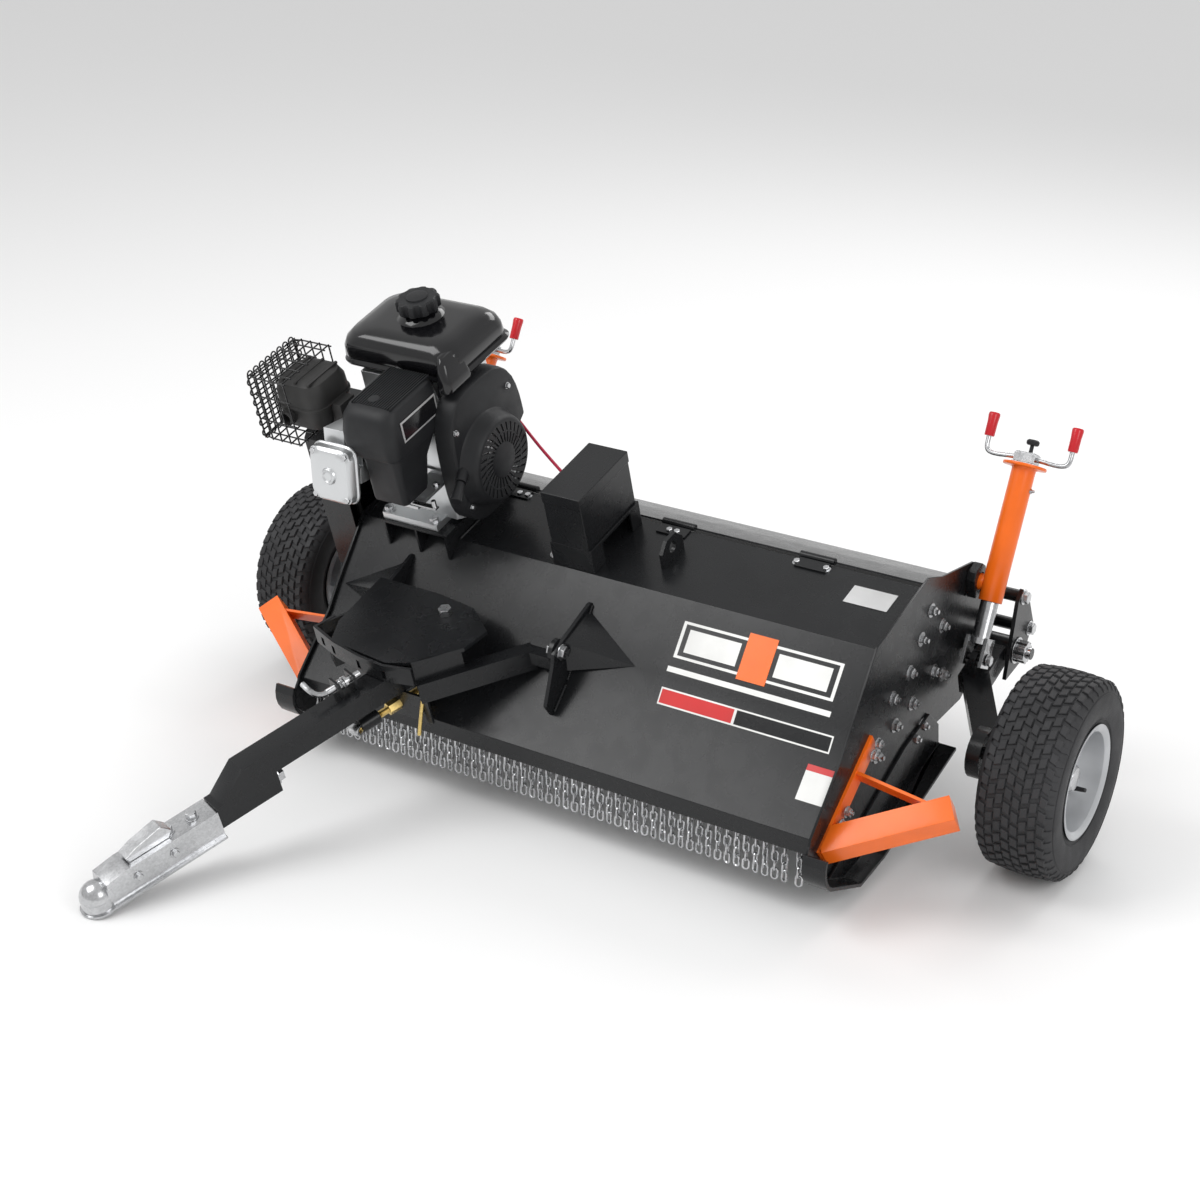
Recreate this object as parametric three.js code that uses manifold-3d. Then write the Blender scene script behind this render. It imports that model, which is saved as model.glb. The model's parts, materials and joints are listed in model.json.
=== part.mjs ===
/**
 * Tow-behind brush mower: a flail housing on two jack-adjusted wheels, driven by a petrol engine
 * through a belt, with a swinging drawbar and a ball coupler.
 *
 * Units are millimetres. -Y is the towing direction, +X is right as seen from the front, +Z is up.
 * The machine stands nose-down on its two wheels and its coupler, so everything is drawn in a level
 * chassis frame (origin on the wheel axle line, Y rearwards, Z square to the deck) that is tilted
 * about the axle by REST_TILT.
 */
import * as THREE from 'three';
import { ConvexGeometry } from 'three/addons/geometries/ConvexGeometry.js';
import { mergeVertices } from 'three/addons/utils/BufferGeometryUtils.js';
import ManifoldModule from 'manifold-3d';

const wasm = await ManifoldModule();
wasm.setup();

// ---- general ------------------------------------------------------------------------------
const GAP = 0.3; // between pieces that touch
const REST_TILT = THREE.MathUtils.degToRad(16.14);
const TYRE_R = 203; // sets the axle's height over the ground
const SEGMENTS = 20;
const WHEEL_SEGMENTS = 30; // a facet corner of each tyre points straight down

// ---- housing ------------------------------------------------------------------------------
const HOUSING_HALF = 606; // centre to the side plates' inner faces
const SHEET = 4; // deck sheet thickness
const PLATE = 5; // side plate thickness
const DECK_Z = 320;
const DECK_REAR_Y = 68;
const DECK_BEND_Y = -128;
const PANEL_TOP = [-250, 225];
const PANEL_BEND = [-300, 182];
const LIP = [-432, 104];
const LIP_DROP = 42;
const PLATE_RIM = 7; // how far the side plates stand proud of the sheet
const PLATE_OUT = HOUSING_HALF + PLATE;
const SKID_SOLE = -80; // underside of the side plates
const SKID_THICK = 8;
const SKID_WIDTH = 44;
const NOSE = { y: -418, z: 58, r: 50 };

// ---- rotor and belt drive -----------------------------------------------------------------
const ROTOR = { y: -56, z: 138 };
const ROTOR_TUBE_R = 44;
const ROTOR_SHAFT_R = 15;
const FLAIL_TIP_R = 160;
const FLAIL_STATIONS = 12;
const BEARING_SIZE = 104;
const PLATFORM_Z = DECK_Z + 35; // top of the engine stand
const CRANKSHAFT = { y: -44, z: PLATFORM_Z + 133 };
const PULLEY_X = PLATE_OUT + 41; // belt plane, left of the housing
const PULLEY_WIDTH = 30;
const ENGINE_PULLEY_R = 50;
const ROTOR_PULLEY_R = 45;
const BELT_THICK = 9;
const BELT_WIDTH = 22;
const COVER_OUT = PULLEY_X + 38;
const COVER_CLEAR = 12;
const COVER_WALL = 2.5;

// ---- engine -------------------------------------------------------------------------------
const PLATFORM = { x0: -524, x1: -352, y0: -166, y1: 78, sheet: 7 };
const ENGINE_X = -462; // cylinder axis plane
const RECOIL_X = -258; // outer face of the recoil cover
const RECOIL_R = 88;
const BLOWER_R = 122;
const TANK = {
  x0: -608, x1: -303, y0: -112, y1: 132, z0: PLATFORM_Z + 323, z1: PLATFORM_Z + 397, lip: 9,
};
const CAP = { x: -459, y: 30, r: 46, height: 30 };
const BLOWER_X = -339.7; // left face of the blower housing
const HEAD_LEAN = THREE.MathUtils.degToRad(14); // cylinder axis above the horizontal
const CONTROL_PLATE_Z = PLATFORM_Z + 116;
const AIR = { x0: -478, x1: -340, y0: -268, y1: -88, z0: PLATFORM_Z + 217, z1: PLATFORM_Z + 351 };
const MUFFLER = { x0: -684, x1: -556, y0: -226, y1: -98, z0: PLATFORM_Z + 235, z1: PLATFORM_Z + 347 };
const CAGE = { x0: -714, x1: -612, y0: -250, y1: -80, z0: PLATFORM_Z + 207, z1: PLATFORM_Z + 371 };

// ---- battery ------------------------------------------------------------------------------
const BATTERY = { x0: -113, x1: -20, y0: -128, y1: 54, z0: DECK_Z + 56, z1: DECK_Z + 181 };
const CABLE_R = 3.5;

// ---- hitch --------------------------------------------------------------------------------
const FRAME_HINGE = { y: -296, z: 256 };
const BRACKET_X = [-456, 0]; // outer faces of the two front brackets' plates
const BRACKET_THICK = 8;
const TOP_PLATE_THICK = 8;
const PIVOT = { x: -262, y: -316 };
const TOW_YAW = THREE.MathUtils.degToRad(18); // drawbar swung towards -X at rest
const TUBE = 50; // drawbar and swivel tube section
const DRAWBAR_LOW_Z = 196; // underside of the main tube
const DRAWBAR_TOP_Z = DRAWBAR_LOW_Z + TUBE;
const TOP_PLATE_Z = DRAWBAR_TOP_Z + 44;
const HITCH_ARM_LOW_Z = 194; // underside of the swing frame's arms
const LEVEL_SCREW_Z = 156;
const DRAWBAR_TAIL = 22; // drawbar behind its pivot
const DRAWBAR_LENGTH = 520; // pivot to the front of the main tube's top
const SWIVEL_TUBE = [455, 594]; // lower tube, from the pivot
const BALL_REACH = 860; // pivot to the centre of the ball socket
const COUPLER_HALF = 29;
const LOCK_PIN_Z = DRAWBAR_TOP_Z + 22;
const FLANGE_R = 38; // foot ring of the coupler
const FLANGE_FRONT_Y = PIVOT.y - BALL_REACH * Math.cos(TOW_YAW) - FLANGE_R;
const COUPLER_FLOOR = -(TYRE_R + FLANGE_FRONT_Y * Math.sin(REST_TILT)) / Math.cos(REST_TILT);

// ---- wheels, arms and jacks (right side; the left side mirrors it) --------------------------
const TYRE_HALF = 79;
const RIM_R = 101;
const RIM_FLANGE_R = 115;
const RIM_HALF = 69;
const SPINDLE_R = 12.5;
const ARM_PIVOT = { y: 280, z: 26 };
const JACK_TUBE_R = 24;
const JACK_X = PLATE_OUT + 25 + JACK_TUBE_R;
const OUTER_BRACKET_X = JACK_X + JACK_TUBE_R + 6; // inner face of the outer bracket plate
const WHEEL_X = OUTER_BRACKET_X + 198; // middle of the tyre
const HUB_PLATE_X = [WHEEL_X - 156, WHEEL_X - 128];
const TRUNNION = { y: 271.6, z: 191.8 };
const CLEVIS = { y: 170.5, z: 81.3 };
const JACK_INNER_R = 18;
const JACK_ABOVE = 241; // trunnion to the top flange
const JACK_BELOW = 35; // trunnion to the outer tube's mouth
const CLEVIS_GAP = 5; // free space round the opened clevis pin
const CRANK_REACH = 88;
const GRIP_LIFT = 42; // crank base to the lower end of the grips
const LEFT_CRANK_TURN = THREE.MathUtils.degToRad(22);

// ---- solids -------------------------------------------------------------------------------

/** Turns a closed three.js geometry into a boolean solid, dropping collapsed triangles. */
function solid(shape) {
  if (!(shape instanceof THREE.BufferGeometry)) return shape;
  const bare = new THREE.BufferGeometry();
  bare.setAttribute('position', shape.getAttribute('position'));
  if (shape.index) bare.setIndex(shape.index);
  const welded = mergeVertices(bare, 1e-3);
  const kept = [];
  const index = welded.index.array;
  for (let i = 0; i < index.length; i += 3) {
    const [a, b, c] = [index[i], index[i + 1], index[i + 2]];
    if (a !== b && b !== c && c !== a) kept.push(a, b, c);
  }
  const mesh = new wasm.Mesh({
    numProp: 3,
    vertProperties: new Float32Array(welded.getAttribute('position').array),
    triVerts: new Uint32Array(kept),
  });
  return new wasm.Manifold(mesh);
}

/** Joins shapes into one solid. */
function join(...shapes) {
  return shapes.map(solid).reduce((whole, next) => whole.add(next));
}

/** Takes the later shapes away from the first. */
function cut(body, ...tools) {
  return tools.reduce((rest, tool) => rest.subtract(solid(tool)), solid(body));
}

/** The three.js geometry of a solid. */
function geometryOf(body) {
  const mesh = solid(body).getMesh();
  const geometry = new THREE.BufferGeometry();
  const positions = new Float32Array((mesh.vertProperties.length / mesh.numProp) * 3);
  for (let i = 0; i < positions.length / 3; i += 1) {
    positions.set(mesh.vertProperties.subarray(i * mesh.numProp, i * mesh.numProp + 3), i * 3);
  }
  geometry.setAttribute('position', new THREE.BufferAttribute(positions, 3));
  geometry.setIndex(new THREE.BufferAttribute(new Uint32Array(mesh.triVerts), 1));
  geometry.computeVertexNormals();
  return geometry;
}

/** A named sub-part with its own material. */
function piece(name, shape, color, metalness = 0.3, roughness = 0.5) {
  const material = new THREE.MeshStandardMaterial({ color, metalness, roughness });
  material.name = name;
  const mesh = new THREE.Mesh(geometryOf(shape), material);
  mesh.name = name;
  return mesh;
}

/** Box between two corners. */
function box(x0, x1, y0, y1, z0, z1) {
  const geometry = new THREE.BoxGeometry(Math.abs(x1 - x0), y1 - y0, z1 - z0);
  return geometry.translate((x0 + x1) / 2, (y0 + y1) / 2, (z0 + z1) / 2);
}

/** Counter-clockwise outline from [a, b] points, with optional round holes [a, b, r]. */
function outline(points, holes = []) {
  const corners = points.map(([a, b]) => new THREE.Vector2(a, b));
  if (THREE.ShapeUtils.isClockWise(corners)) corners.reverse();
  const shape = new THREE.Shape(corners);
  for (const [a, b, r] of holes) {
    const hole = new THREE.Path();
    hole.absarc(a, b, r, 0, Math.PI * 2, true);
    shape.holes.push(hole);
  }
  return shape;
}

/** Extrudes a (Y, Z) shape from x0 to x1. */
function prismX(shape, x0, x1) {
  const geometry = new THREE.ExtrudeGeometry(shape, {
    depth: Math.abs(x1 - x0),
    bevelEnabled: false,
    curveSegments: 12,
  });
  const toX = new THREE.Matrix4().makeBasis(
    new THREE.Vector3(0, 1, 0),
    new THREE.Vector3(0, 0, 1),
    new THREE.Vector3(1, 0, 0),
  );
  return geometry.applyMatrix4(toX).translate(Math.min(x0, x1), 0, 0);
}

/** Extrudes an (X, Y) shape from z0 to z1. */
function prismZ(shape, z0, z1) {
  const settings = { depth: z1 - z0, bevelEnabled: false, curveSegments: 12 };
  return new THREE.ExtrudeGeometry(shape, settings).translate(0, 0, z0);
}

/** Round rod between two [x, y, z] points; a tip radius makes it a cone. */
function rod(from, to, radius, tipRadius = radius, segments = SEGMENTS) {
  const a = new THREE.Vector3(...from);
  const b = new THREE.Vector3(...to);
  const along = b.clone().sub(a);
  const geometry = new THREE.CylinderGeometry(tipRadius, radius, along.length(), segments);
  const turn = new THREE.Quaternion().setFromUnitVectors(
    new THREE.Vector3(0, 1, 0),
    along.clone().normalize(),
  );
  const middle = a.add(b).multiplyScalar(0.5);
  return geometry.applyQuaternion(turn).translate(middle.x, middle.y, middle.z);
}

/** Revolves closed [offset, radius] points round the X-parallel line through (x, y, z). */
function turnedX(profile, x, y, z, segments = SEGMENTS) {
  const points = profile.map(([offset, radius]) => new THREE.Vector2(radius, offset));
  if (THREE.ShapeUtils.isClockWise(points)) points.reverse();
  points.push(points[0].clone());
  const geometry = new THREE.LatheGeometry(points, segments);
  return geometry.rotateZ(-Math.PI / 2).translate(x, y, z);
}

/** Round bar swept along a smooth line through [x, y, z] points. */
function sweptBar(points, radius, steps = 24, sides = 10) {
  const path = new THREE.CatmullRomCurve3(
    points.map((p) => new THREE.Vector3(...p)),
    false,
    'centripetal',
  );
  const ring = new THREE.Shape();
  ring.absarc(0, 0, radius, 0, Math.PI * 2, false);
  return new THREE.ExtrudeGeometry(ring, {
    steps,
    extrudePath: path,
    bevelEnabled: false,
    curveSegments: sides / 2,
  });
}

/** Box with all upright edges chamfered and a smaller top, as a convex hull. */
function loft(bottom, top) {
  const corners = [];
  for (const { x0, x1, y0, y1, z, corner } of [bottom, top]) {
    corners.push(
      [x0 + corner, y0, z], [x1 - corner, y0, z], [x1, y0 + corner, z], [x1, y1 - corner, z],
    );
    corners.push(
      [x1 - corner, y1, z], [x0 + corner, y1, z], [x0, y1 - corner, z], [x0, y0 + corner, z],
    );
  }
  return new ConvexGeometry(corners.map((p) => new THREE.Vector3(...p)));
}

/** Turns a shape about the X-parallel line through (y, z). */
function tilted(geometry, angle, y, z) {
  return geometry.translate(0, -y, -z).rotateX(angle).translate(0, y, z);
}

/** Closed outline of a bent sheet whose outer face follows the points; t goes to the right of travel. */
function sheetOutline(points, t) {
  const inner = points.map((point, i) => {
    const before = points[Math.max(i - 1, 0)];
    const after = points[Math.min(i + 1, points.length - 1)];
    const normals = [];
    if (i > 0) normals.push(rightOf(before, point));
    if (i < points.length - 1) normals.push(rightOf(point, after));
    const [n, m] = [normals[0], normals[normals.length - 1]];
    const scale = t / (1 + n[0] * m[0] + n[1] * m[1]);
    return [point[0] + (n[0] + m[0]) * scale, point[1] + (n[1] + m[1]) * scale];
  });
  return outline([...points, ...inner.reverse()]);
}

/** Unit normal on the right-hand side of the way from a to b. */
function rightOf(a, b) {
  const length = Math.hypot(b[0] - a[0], b[1] - a[1]);
  return [(b[1] - a[1]) / length, -(b[0] - a[0]) / length];
}

// ---- housing ------------------------------------------------------------------------------

/** Outer face of the bent deck, from its rear edge over the front to the bottom of the lip. */
function deckLine() {
  return [
    [DECK_REAR_Y, DECK_Z],
    [DECK_BEND_Y, DECK_Z],
    PANEL_TOP,
    PANEL_BEND,
    LIP,
    [LIP[0] - 3, LIP[1] - LIP_DROP],
  ];
}

/** Deck, front panel and lip folded from one sheet. */
function deckShell() {
  const half = HOUSING_HALF - GAP;
  return prismX(sheetOutline(deckLine(), -SHEET), -half, half);
}

/** Side plate outline: proud of the sheet in front, carrying the arm pivot behind. */
function sidePlateShape() {
  const shape = new THREE.Shape();
  shape.moveTo(DECK_REAR_Y + 24, DECK_Z + PLATE_RIM);
  shape.lineTo(DECK_BEND_Y - 2, DECK_Z + PLATE_RIM);
  shape.lineTo(PANEL_TOP[0] - 5, PANEL_TOP[1] + PLATE_RIM);
  shape.lineTo(PANEL_BEND[0] - 5, PANEL_BEND[1] + PLATE_RIM);
  shape.lineTo(LIP[0] - 6, LIP[1] + PLATE_RIM);
  shape.absarc(NOSE.y, NOSE.z, NOSE.r, 2.1, 3.9, false);
  shape.lineTo(-350, -64);
  shape.lineTo(-255, SKID_SOLE);
  shape.lineTo(70, SKID_SOLE);
  shape.lineTo(78, -34);
  shape.lineTo(190, -62);
  shape.lineTo(ARM_PIVOT.y + 20, ARM_PIVOT.z - 60);
  shape.lineTo(ARM_PIVOT.y + 92, ARM_PIVOT.z + 6);
  shape.lineTo(ARM_PIVOT.y + 84, 132);
  shape.lineTo(TRUNNION.y + 46, TRUNNION.z + 4);
  shape.lineTo(TRUNNION.y + 14, TRUNNION.z + 34);
  shape.lineTo(150, DECK_Z - 32);
  return shape;
}

function sidePlate(side) {
  const plate = prismX(sidePlateShape(), side * HOUSING_HALF, side * PLATE_OUT);
  const pivotHole = rod(
    [side * (HOUSING_HALF - 16), ARM_PIVOT.y, ARM_PIVOT.z],
    [side * (PLATE_OUT + 19), ARM_PIVOT.y, ARM_PIVOT.z],
    13,
  );
  if (side > 0) return cut(plate, pivotHole);
  const shaftHole = rod(
    [16 - HOUSING_HALF, ROTOR.y, ROTOR.z],
    [-PLATE_OUT - 19, ROTOR.y, ROTOR.z],
    ROTOR_SHAFT_R + 8,
  );
  return cut(plate, pivotHole, shaftHole);
}

/** Curved shoe: a sole under the side plate and a web bolted to its outer face. */
function skid(side) {
  const nose = [];
  const reach = NOSE.r + SKID_THICK + 1.5;
  for (let i = 0; i <= 5; i += 1) {
    const angle = 2.45 + (i * (3.9 - 2.45)) / 5;
    nose.push([NOSE.y + reach * Math.cos(angle), NOSE.z + reach * Math.sin(angle)]);
  }
  const low = SKID_SOLE - SKID_THICK - GAP;
  const line = [...nose, [-355, -73], [-257, low], [72, low]];
  const sole = prismX(
    sheetOutline(line, -SKID_THICK), side * HOUSING_HALF, side * (PLATE_OUT + SKID_WIDTH),
  );
  const webLine = [
    [-410, -24], [-352, -66], [-255, SKID_SOLE - 2], [71, SKID_SOLE - 2], [77, -34], [42, 22],
    [-70, 26],
  ];
  const web = prismX(outline(webLine), side * (PLATE_OUT + GAP), side * (PLATE_OUT + 6));
  return join(sole, web);
}

/** Pierced lug for a lifting hook. */
function liftingLug() {
  const base = DECK_Z + GAP;
  const shape = outline(
    [[-62, base], [16, base], [16, base + 30], [-8, base + 54], [-40, base + 54], [-62, base + 34]],
    [[-23, base + 29, 12]],
  );
  return prismX(shape, 100, 108);
}

/** Rear hood: bent sheet hung on hinge knuckles at the deck's rear edge. */
function rearHood() {
  const line = [[330, 44], [322, 118], [262, 196], [160, 268], [DECK_REAR_Y + 10, DECK_Z - 2]];
  const sheet = prismX(sheetOutline(line, SHEET), -HOUSING_HALF + 4, HOUSING_HALF - 4);
  const knuckles = [-330, 60, 378].map((x) => rod(
    [x - 38, DECK_REAR_Y + 11, DECK_Z + 1], [x + 38, DECK_REAR_Y + 11, DECK_Z + 1], 8, 8, 12,
  ));
  return join(sheet, ...knuckles);
}

/** Square flange bearing inside the right plate or outside the left one. */
function bearing(side) {
  const half = BEARING_SIZE / 2;
  const plate = outline([
    [ROTOR.y - half, ROTOR.z - half + 16], [ROTOR.y - half + 16, ROTOR.z - half],
    [ROTOR.y + half - 16, ROTOR.z - half], [ROTOR.y + half, ROTOR.z - half + 16],
    [ROTOR.y + half, ROTOR.z + half - 16], [ROTOR.y + half - 16, ROTOR.z + half],
    [ROTOR.y - half + 16, ROTOR.z + half], [ROTOR.y - half, ROTOR.z + half - 16],
  ]);
  const face = side * (HOUSING_HALF - GAP);
  const flange = prismX(plate, face, face - side * 11);
  const boss = rod([face - side * 2, ROTOR.y, ROTOR.z], [face - side * 30, ROTOR.y, ROTOR.z], 34);
  const bore = rod(
    [face + side * 2, ROTOR.y, ROTOR.z], [face - side * 40, ROTOR.y, ROTOR.z],
    ROTOR_SHAFT_R + GAP,
  );
  return cut(join(flange, boss), bore);
}

/** Flail rotor: tube, shaft ends and a spiral of paired Y flails. */
function rotor() {
  const tubeHalf = HOUSING_HALF - 48;
  const shapes = [
    rod([-tubeHalf, ROTOR.y, ROTOR.z], [tubeHalf, ROTOR.y, ROTOR.z], ROTOR_TUBE_R),
    rod(
      [-PULLEY_X - 24, ROTOR.y, ROTOR.z], [-tubeHalf + 4, ROTOR.y, ROTOR.z], ROTOR_SHAFT_R,
      ROTOR_SHAFT_R, 16,
    ),
    rod(
      [tubeHalf - 4, ROTOR.y, ROTOR.z], [HOUSING_HALF - 4, ROTOR.y, ROTOR.z], ROTOR_SHAFT_R,
      ROTOR_SHAFT_R, 16,
    ),
  ];
  for (let i = 0; i < FLAIL_STATIONS; i += 1) {
    const x = -tubeHalf + 45 + (i * (tubeHalf * 2 - 90)) / (FLAIL_STATIONS - 1);
    const angle = (i * Math.PI) / 2 + i * 0.2;
    const lug = box(x - 5, x + 5, -12, 12, 30, 88);
    const left = box(x - 12, x - 5, -18, 18, 62, FLAIL_TIP_R);
    const right = box(x + 5, x + 12, -18, 18, 62, FLAIL_TIP_R);
    for (const shape of [lug, left, right]) {
      shapes.push(shape.rotateX(angle).translate(0, ROTOR.y, ROTOR.z));
    }
  }
  return join(...shapes);
}

/** Two-groove pulley with a hub bore for its shaft. */
function pulley(centre, radius, shaftRadius) {
  const half = PULLEY_WIDTH / 2;
  const profile = [
    [-half, shaftRadius + GAP], [half, shaftRadius + GAP], [half, radius], [half - 5, radius],
    [2, radius - 11], [-2, radius - 11], [-half + 5, radius], [-half, radius],
  ];
  return turnedX(profile, -PULLEY_X, centre.y, centre.z, 28);
}

/** Engine output shaft carrying its pulley. */
function enginePulley() {
  const shaft = rod(
    [-PULLEY_X - 20, CRANKSHAFT.y, CRANKSHAFT.z], [-582, CRANKSHAFT.y, CRANKSHAFT.z], 12.5,
    12.5, 16,
  );
  return join(pulley(CRANKSHAFT, ENGINE_PULLEY_R, 10), shaft);
}

/** Rounded loop round both pulleys, at a radius offset from their rims. */
function beltLoop(extra) {
  const shape = new THREE.Shape();
  const run = Math.atan2(CRANKSHAFT.z - ROTOR.z, CRANKSHAFT.y - ROTOR.y);
  const top = ENGINE_PULLEY_R + extra;
  const low = ROTOR_PULLEY_R + extra;
  const lean = Math.acos((low - top) / Math.hypot(CRANKSHAFT.y - ROTOR.y, CRANKSHAFT.z - ROTOR.z));
  shape.absarc(CRANKSHAFT.y, CRANKSHAFT.z, top, run - (Math.PI - lean), run + (Math.PI - lean), false);
  shape.absarc(
    ROTOR.y, ROTOR.z, low, run + (Math.PI - lean), run - (Math.PI - lean) + 2 * Math.PI, false,
  );
  return shape;
}

/** Drive belt, just clear of both grooves. */
function driveBelt() {
  const loop = beltLoop(GAP + BELT_THICK);
  const hole = new THREE.Path(beltLoop(GAP).getPoints(12));
  loop.holes.push(hole);
  return prismX(loop, -PULLEY_X - BELT_WIDTH / 2, -PULLEY_X + BELT_WIDTH / 2);
}

/** Belt guard: a shallow tray over the drive, open towards the housing. */
function beltCover() {
  const y0 = CRANKSHAFT.y - ENGINE_PULLEY_R - BELT_THICK - COVER_CLEAR - 44;
  const y1 = CRANKSHAFT.y + ENGINE_PULLEY_R + BELT_THICK + COVER_CLEAR;
  const z0 = ROTOR.z - ROTOR_PULLEY_R - BELT_THICK - COVER_CLEAR;
  const z1 = CRANKSHAFT.z + ENGINE_PULLEY_R + BELT_THICK + COVER_CLEAR;
  const w = COVER_WALL;
  const inner = -(PLATE_OUT + GAP);
  const skin = outline([
    [y0 + 52, z0], [y1 - 30, z0], [y1, z0 + 40], [y1, z1 - 40], [y1 - 40, z1], [y0 + 40, z1],
    [y0, z1 - 40], [y0, z0 + 120],
  ]);
  const hollow = outline([
    [y0 + 52 + w, z0 + w], [y1 - 30 - w, z0 + w], [y1 - w, z0 + 40 + w], [y1 - w, z1 - 40 - w],
    [y1 - 40 - w, z1 - w], [y0 + 40 + w, z1 - w], [y0 + w, z1 - 40 - w], [y0 + w, z0 + 120 + w],
  ]);
  return cut(prismX(skin, -COVER_OUT, inner), prismX(hollow, -COVER_OUT + w, inner + 10));
}

// ---- engine -------------------------------------------------------------------------------

/** Welded engine stand: top plate on two webs that reach down to the deck and front panel. */
function enginePlatform() {
  const { x0, x1, y0, y1, sheet } = PLATFORM;
  const top = box(x0, x1, y0, y1, PLATFORM_Z - sheet, PLATFORM_Z);
  const panelFoot = DECK_Z - ((DECK_BEND_Y - y0) * (DECK_Z - PANEL_TOP[1])) / (DECK_BEND_Y - PANEL_TOP[0]);
  const web = [
    [y0, PLATFORM_Z - 1], [y0, panelFoot + 1], [DECK_BEND_Y, DECK_Z + 0.6],
    [DECK_REAR_Y - 2, DECK_Z + 0.6], [DECK_REAR_Y - 2, PLATFORM_Z - 1],
  ];
  const webs = [x0 + 4, (x0 + x1) / 2, x1 - 10].map((x) => prismX(outline(web), x, x + 6));
  return join(top, ...webs);
}

/** Crankcase with its mounting foot and the slanted cylinder in front. */
function engineBlock() {
  const foot = box(ENGINE_X - 58, ENGINE_X + 84, -160, 74, PLATFORM_Z + GAP, PLATFORM_Z + 16);
  const case_ = loft(
    { x0: ENGINE_X - 90, x1: BLOWER_X - GAP, y0: -120, y1: 62, z: PLATFORM_Z + 10, corner: 14 },
    { x0: ENGINE_X - 90, x1: BLOWER_X - GAP, y0: -110, y1: 84, z: PLATFORM_Z + 235, corner: 20 },
  );
  const barrel = box(ENGINE_X - 70, ENGINE_X + 46, -276, -90, PLATFORM_Z + 125, PLATFORM_Z + 229);
  const lean = tilted(barrel, -HEAD_LEAN, CRANKSHAFT.y, CRANKSHAFT.z);
  const top = box(ENGINE_X - 90, ENGINE_X + 90, -84, 96, PLATFORM_Z + 225, PLATFORM_Z + 313);
  const controlPlate = box(-404, -352, -226, -100, CONTROL_PLATE_Z - 7, CONTROL_PLATE_Z);
  const airRoom = box(AIR.x0 - 2, AIR.x1 + 2, AIR.y0 - 30, AIR.y1 + 3, AIR.z0 - 2, AIR.z1 + 24);
  const intakeRoom = box(
    AIR.x0 + 34, AIR.x1 + 2, AIR.y0 - 30, AIR.y1 - 20, PLATFORM_Z + 125, AIR.z1 + 14,
  );
  return cut(join(foot, case_, lean, top, controlPlate), airRoom, intakeRoom);
}

/** Cast cover over the cylinder head, facing forward and slightly up. */
function valveCover() {
  const cover = loft(
    { x0: -60, x1: 52, y0: -62, y1: 62, z: 0, corner: 26 },
    { x0: -50, x1: 42, y0: -50, y1: 50, z: 26, corner: 24 },
  );
  const dome = rod([0, 0, 20], [0, 0, 34], 17, 14, 16);
  const whole = [cover, dome].map((shape) => shape
    .rotateX(Math.PI / 2 - HEAD_LEAN)
    .translate(ENGINE_X - 24, -281, PLATFORM_Z + 207));
  return join(...whole);
}

/** Blower housing with the ribbed recoil drum on its right face. */
function blowerHousing() {
  const x = BLOWER_X;
  const shroud = loft(
    {
      x0: x, x1: x + 44, y0: CRANKSHAFT.y - 104, y1: CRANKSHAFT.y + 104, z: PLATFORM_Z + 6,
      corner: 18,
    },
    {
      x0: x, x1: x + 44, y0: CRANKSHAFT.y - 70, y1: CRANKSHAFT.y + 140, z: PLATFORM_Z + 309,
      corner: 18,
    },
  );
  const drum = turnedX(
    [
      [0, 0], [0, BLOWER_R - 18], [22, BLOWER_R - 24], [RECOIL_X - x - 34, RECOIL_R + 4],
      [RECOIL_X - x - 20, RECOIL_R - 8], [RECOIL_X - x - 20, 0],
    ],
    x + 20, CRANKSHAFT.y, CRANKSHAFT.z, 32,
  );
  const guide = rod(
    [x + 40, CRANKSHAFT.y - 66, CRANKSHAFT.z + 34],
    [x + 54, CRANKSHAFT.y - 114, CRANKSHAFT.z + 14], 13, 13, 12,
  );
  return join(shroud, drum, guide);
}

/** Pull grip of the recoil starter, standing off its guide. */
function recoilHandle() {
  const from = new THREE.Vector3(BLOWER_X + 54, CRANKSHAFT.y - 114, CRANKSHAFT.z + 14);
  const along = new THREE.Vector3(14, -48, -20).normalize();
  const start = from.clone().addScaledVector(along, GAP);
  const end = from.clone().addScaledVector(along, 46);
  return rod(start.toArray(), end.toArray(), 9, 13, 12);
}

/** Fuel tank: pressed shell with a seam lip. */
function fuelTank() {
  const { x0, x1, y0, y1, z0, z1, lip } = TANK;
  const upper = loft(
    { x0: x0 + lip, x1: x1 - lip, y0: y0 + lip, y1: y1 - lip, z: z0, corner: 26 },
    { x0: x0 + 44, x1: x1 - 26, y0: y0 + 30, y1: y1 - 30, z: z1, corner: 34 },
  );
  const seam = loft(
    { x0, x1, y0, y1, z: z0 - 4, corner: 30 }, { x0, x1, y0, y1, z: z0 + 4, corner: 30 },
  );
  const lower = loft(
    { x0: x0 + 30, x1: x1 - 24, y0: y0 + 20, y1: y1 - 14, z: z0 - 9, corner: 30 },
    { x0: x0 + lip, x1: x1 - lip, y0: y0 + lip, y1: y1 - lip, z: z0, corner: 26 },
  );
  const neck = rod([CAP.x, CAP.y, z1 - 4], [CAP.x, CAP.y, z1 + 14], 30, 30, 20);
  const frontRoom = box(x0 - 9, BLOWER_X + 2, y0 - 9, AIR.y1 + 3, z0 - 78, AIR.z1 + 9);
  return cut(join(upper, seam, lower, neck), frontRoom);
}

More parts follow.
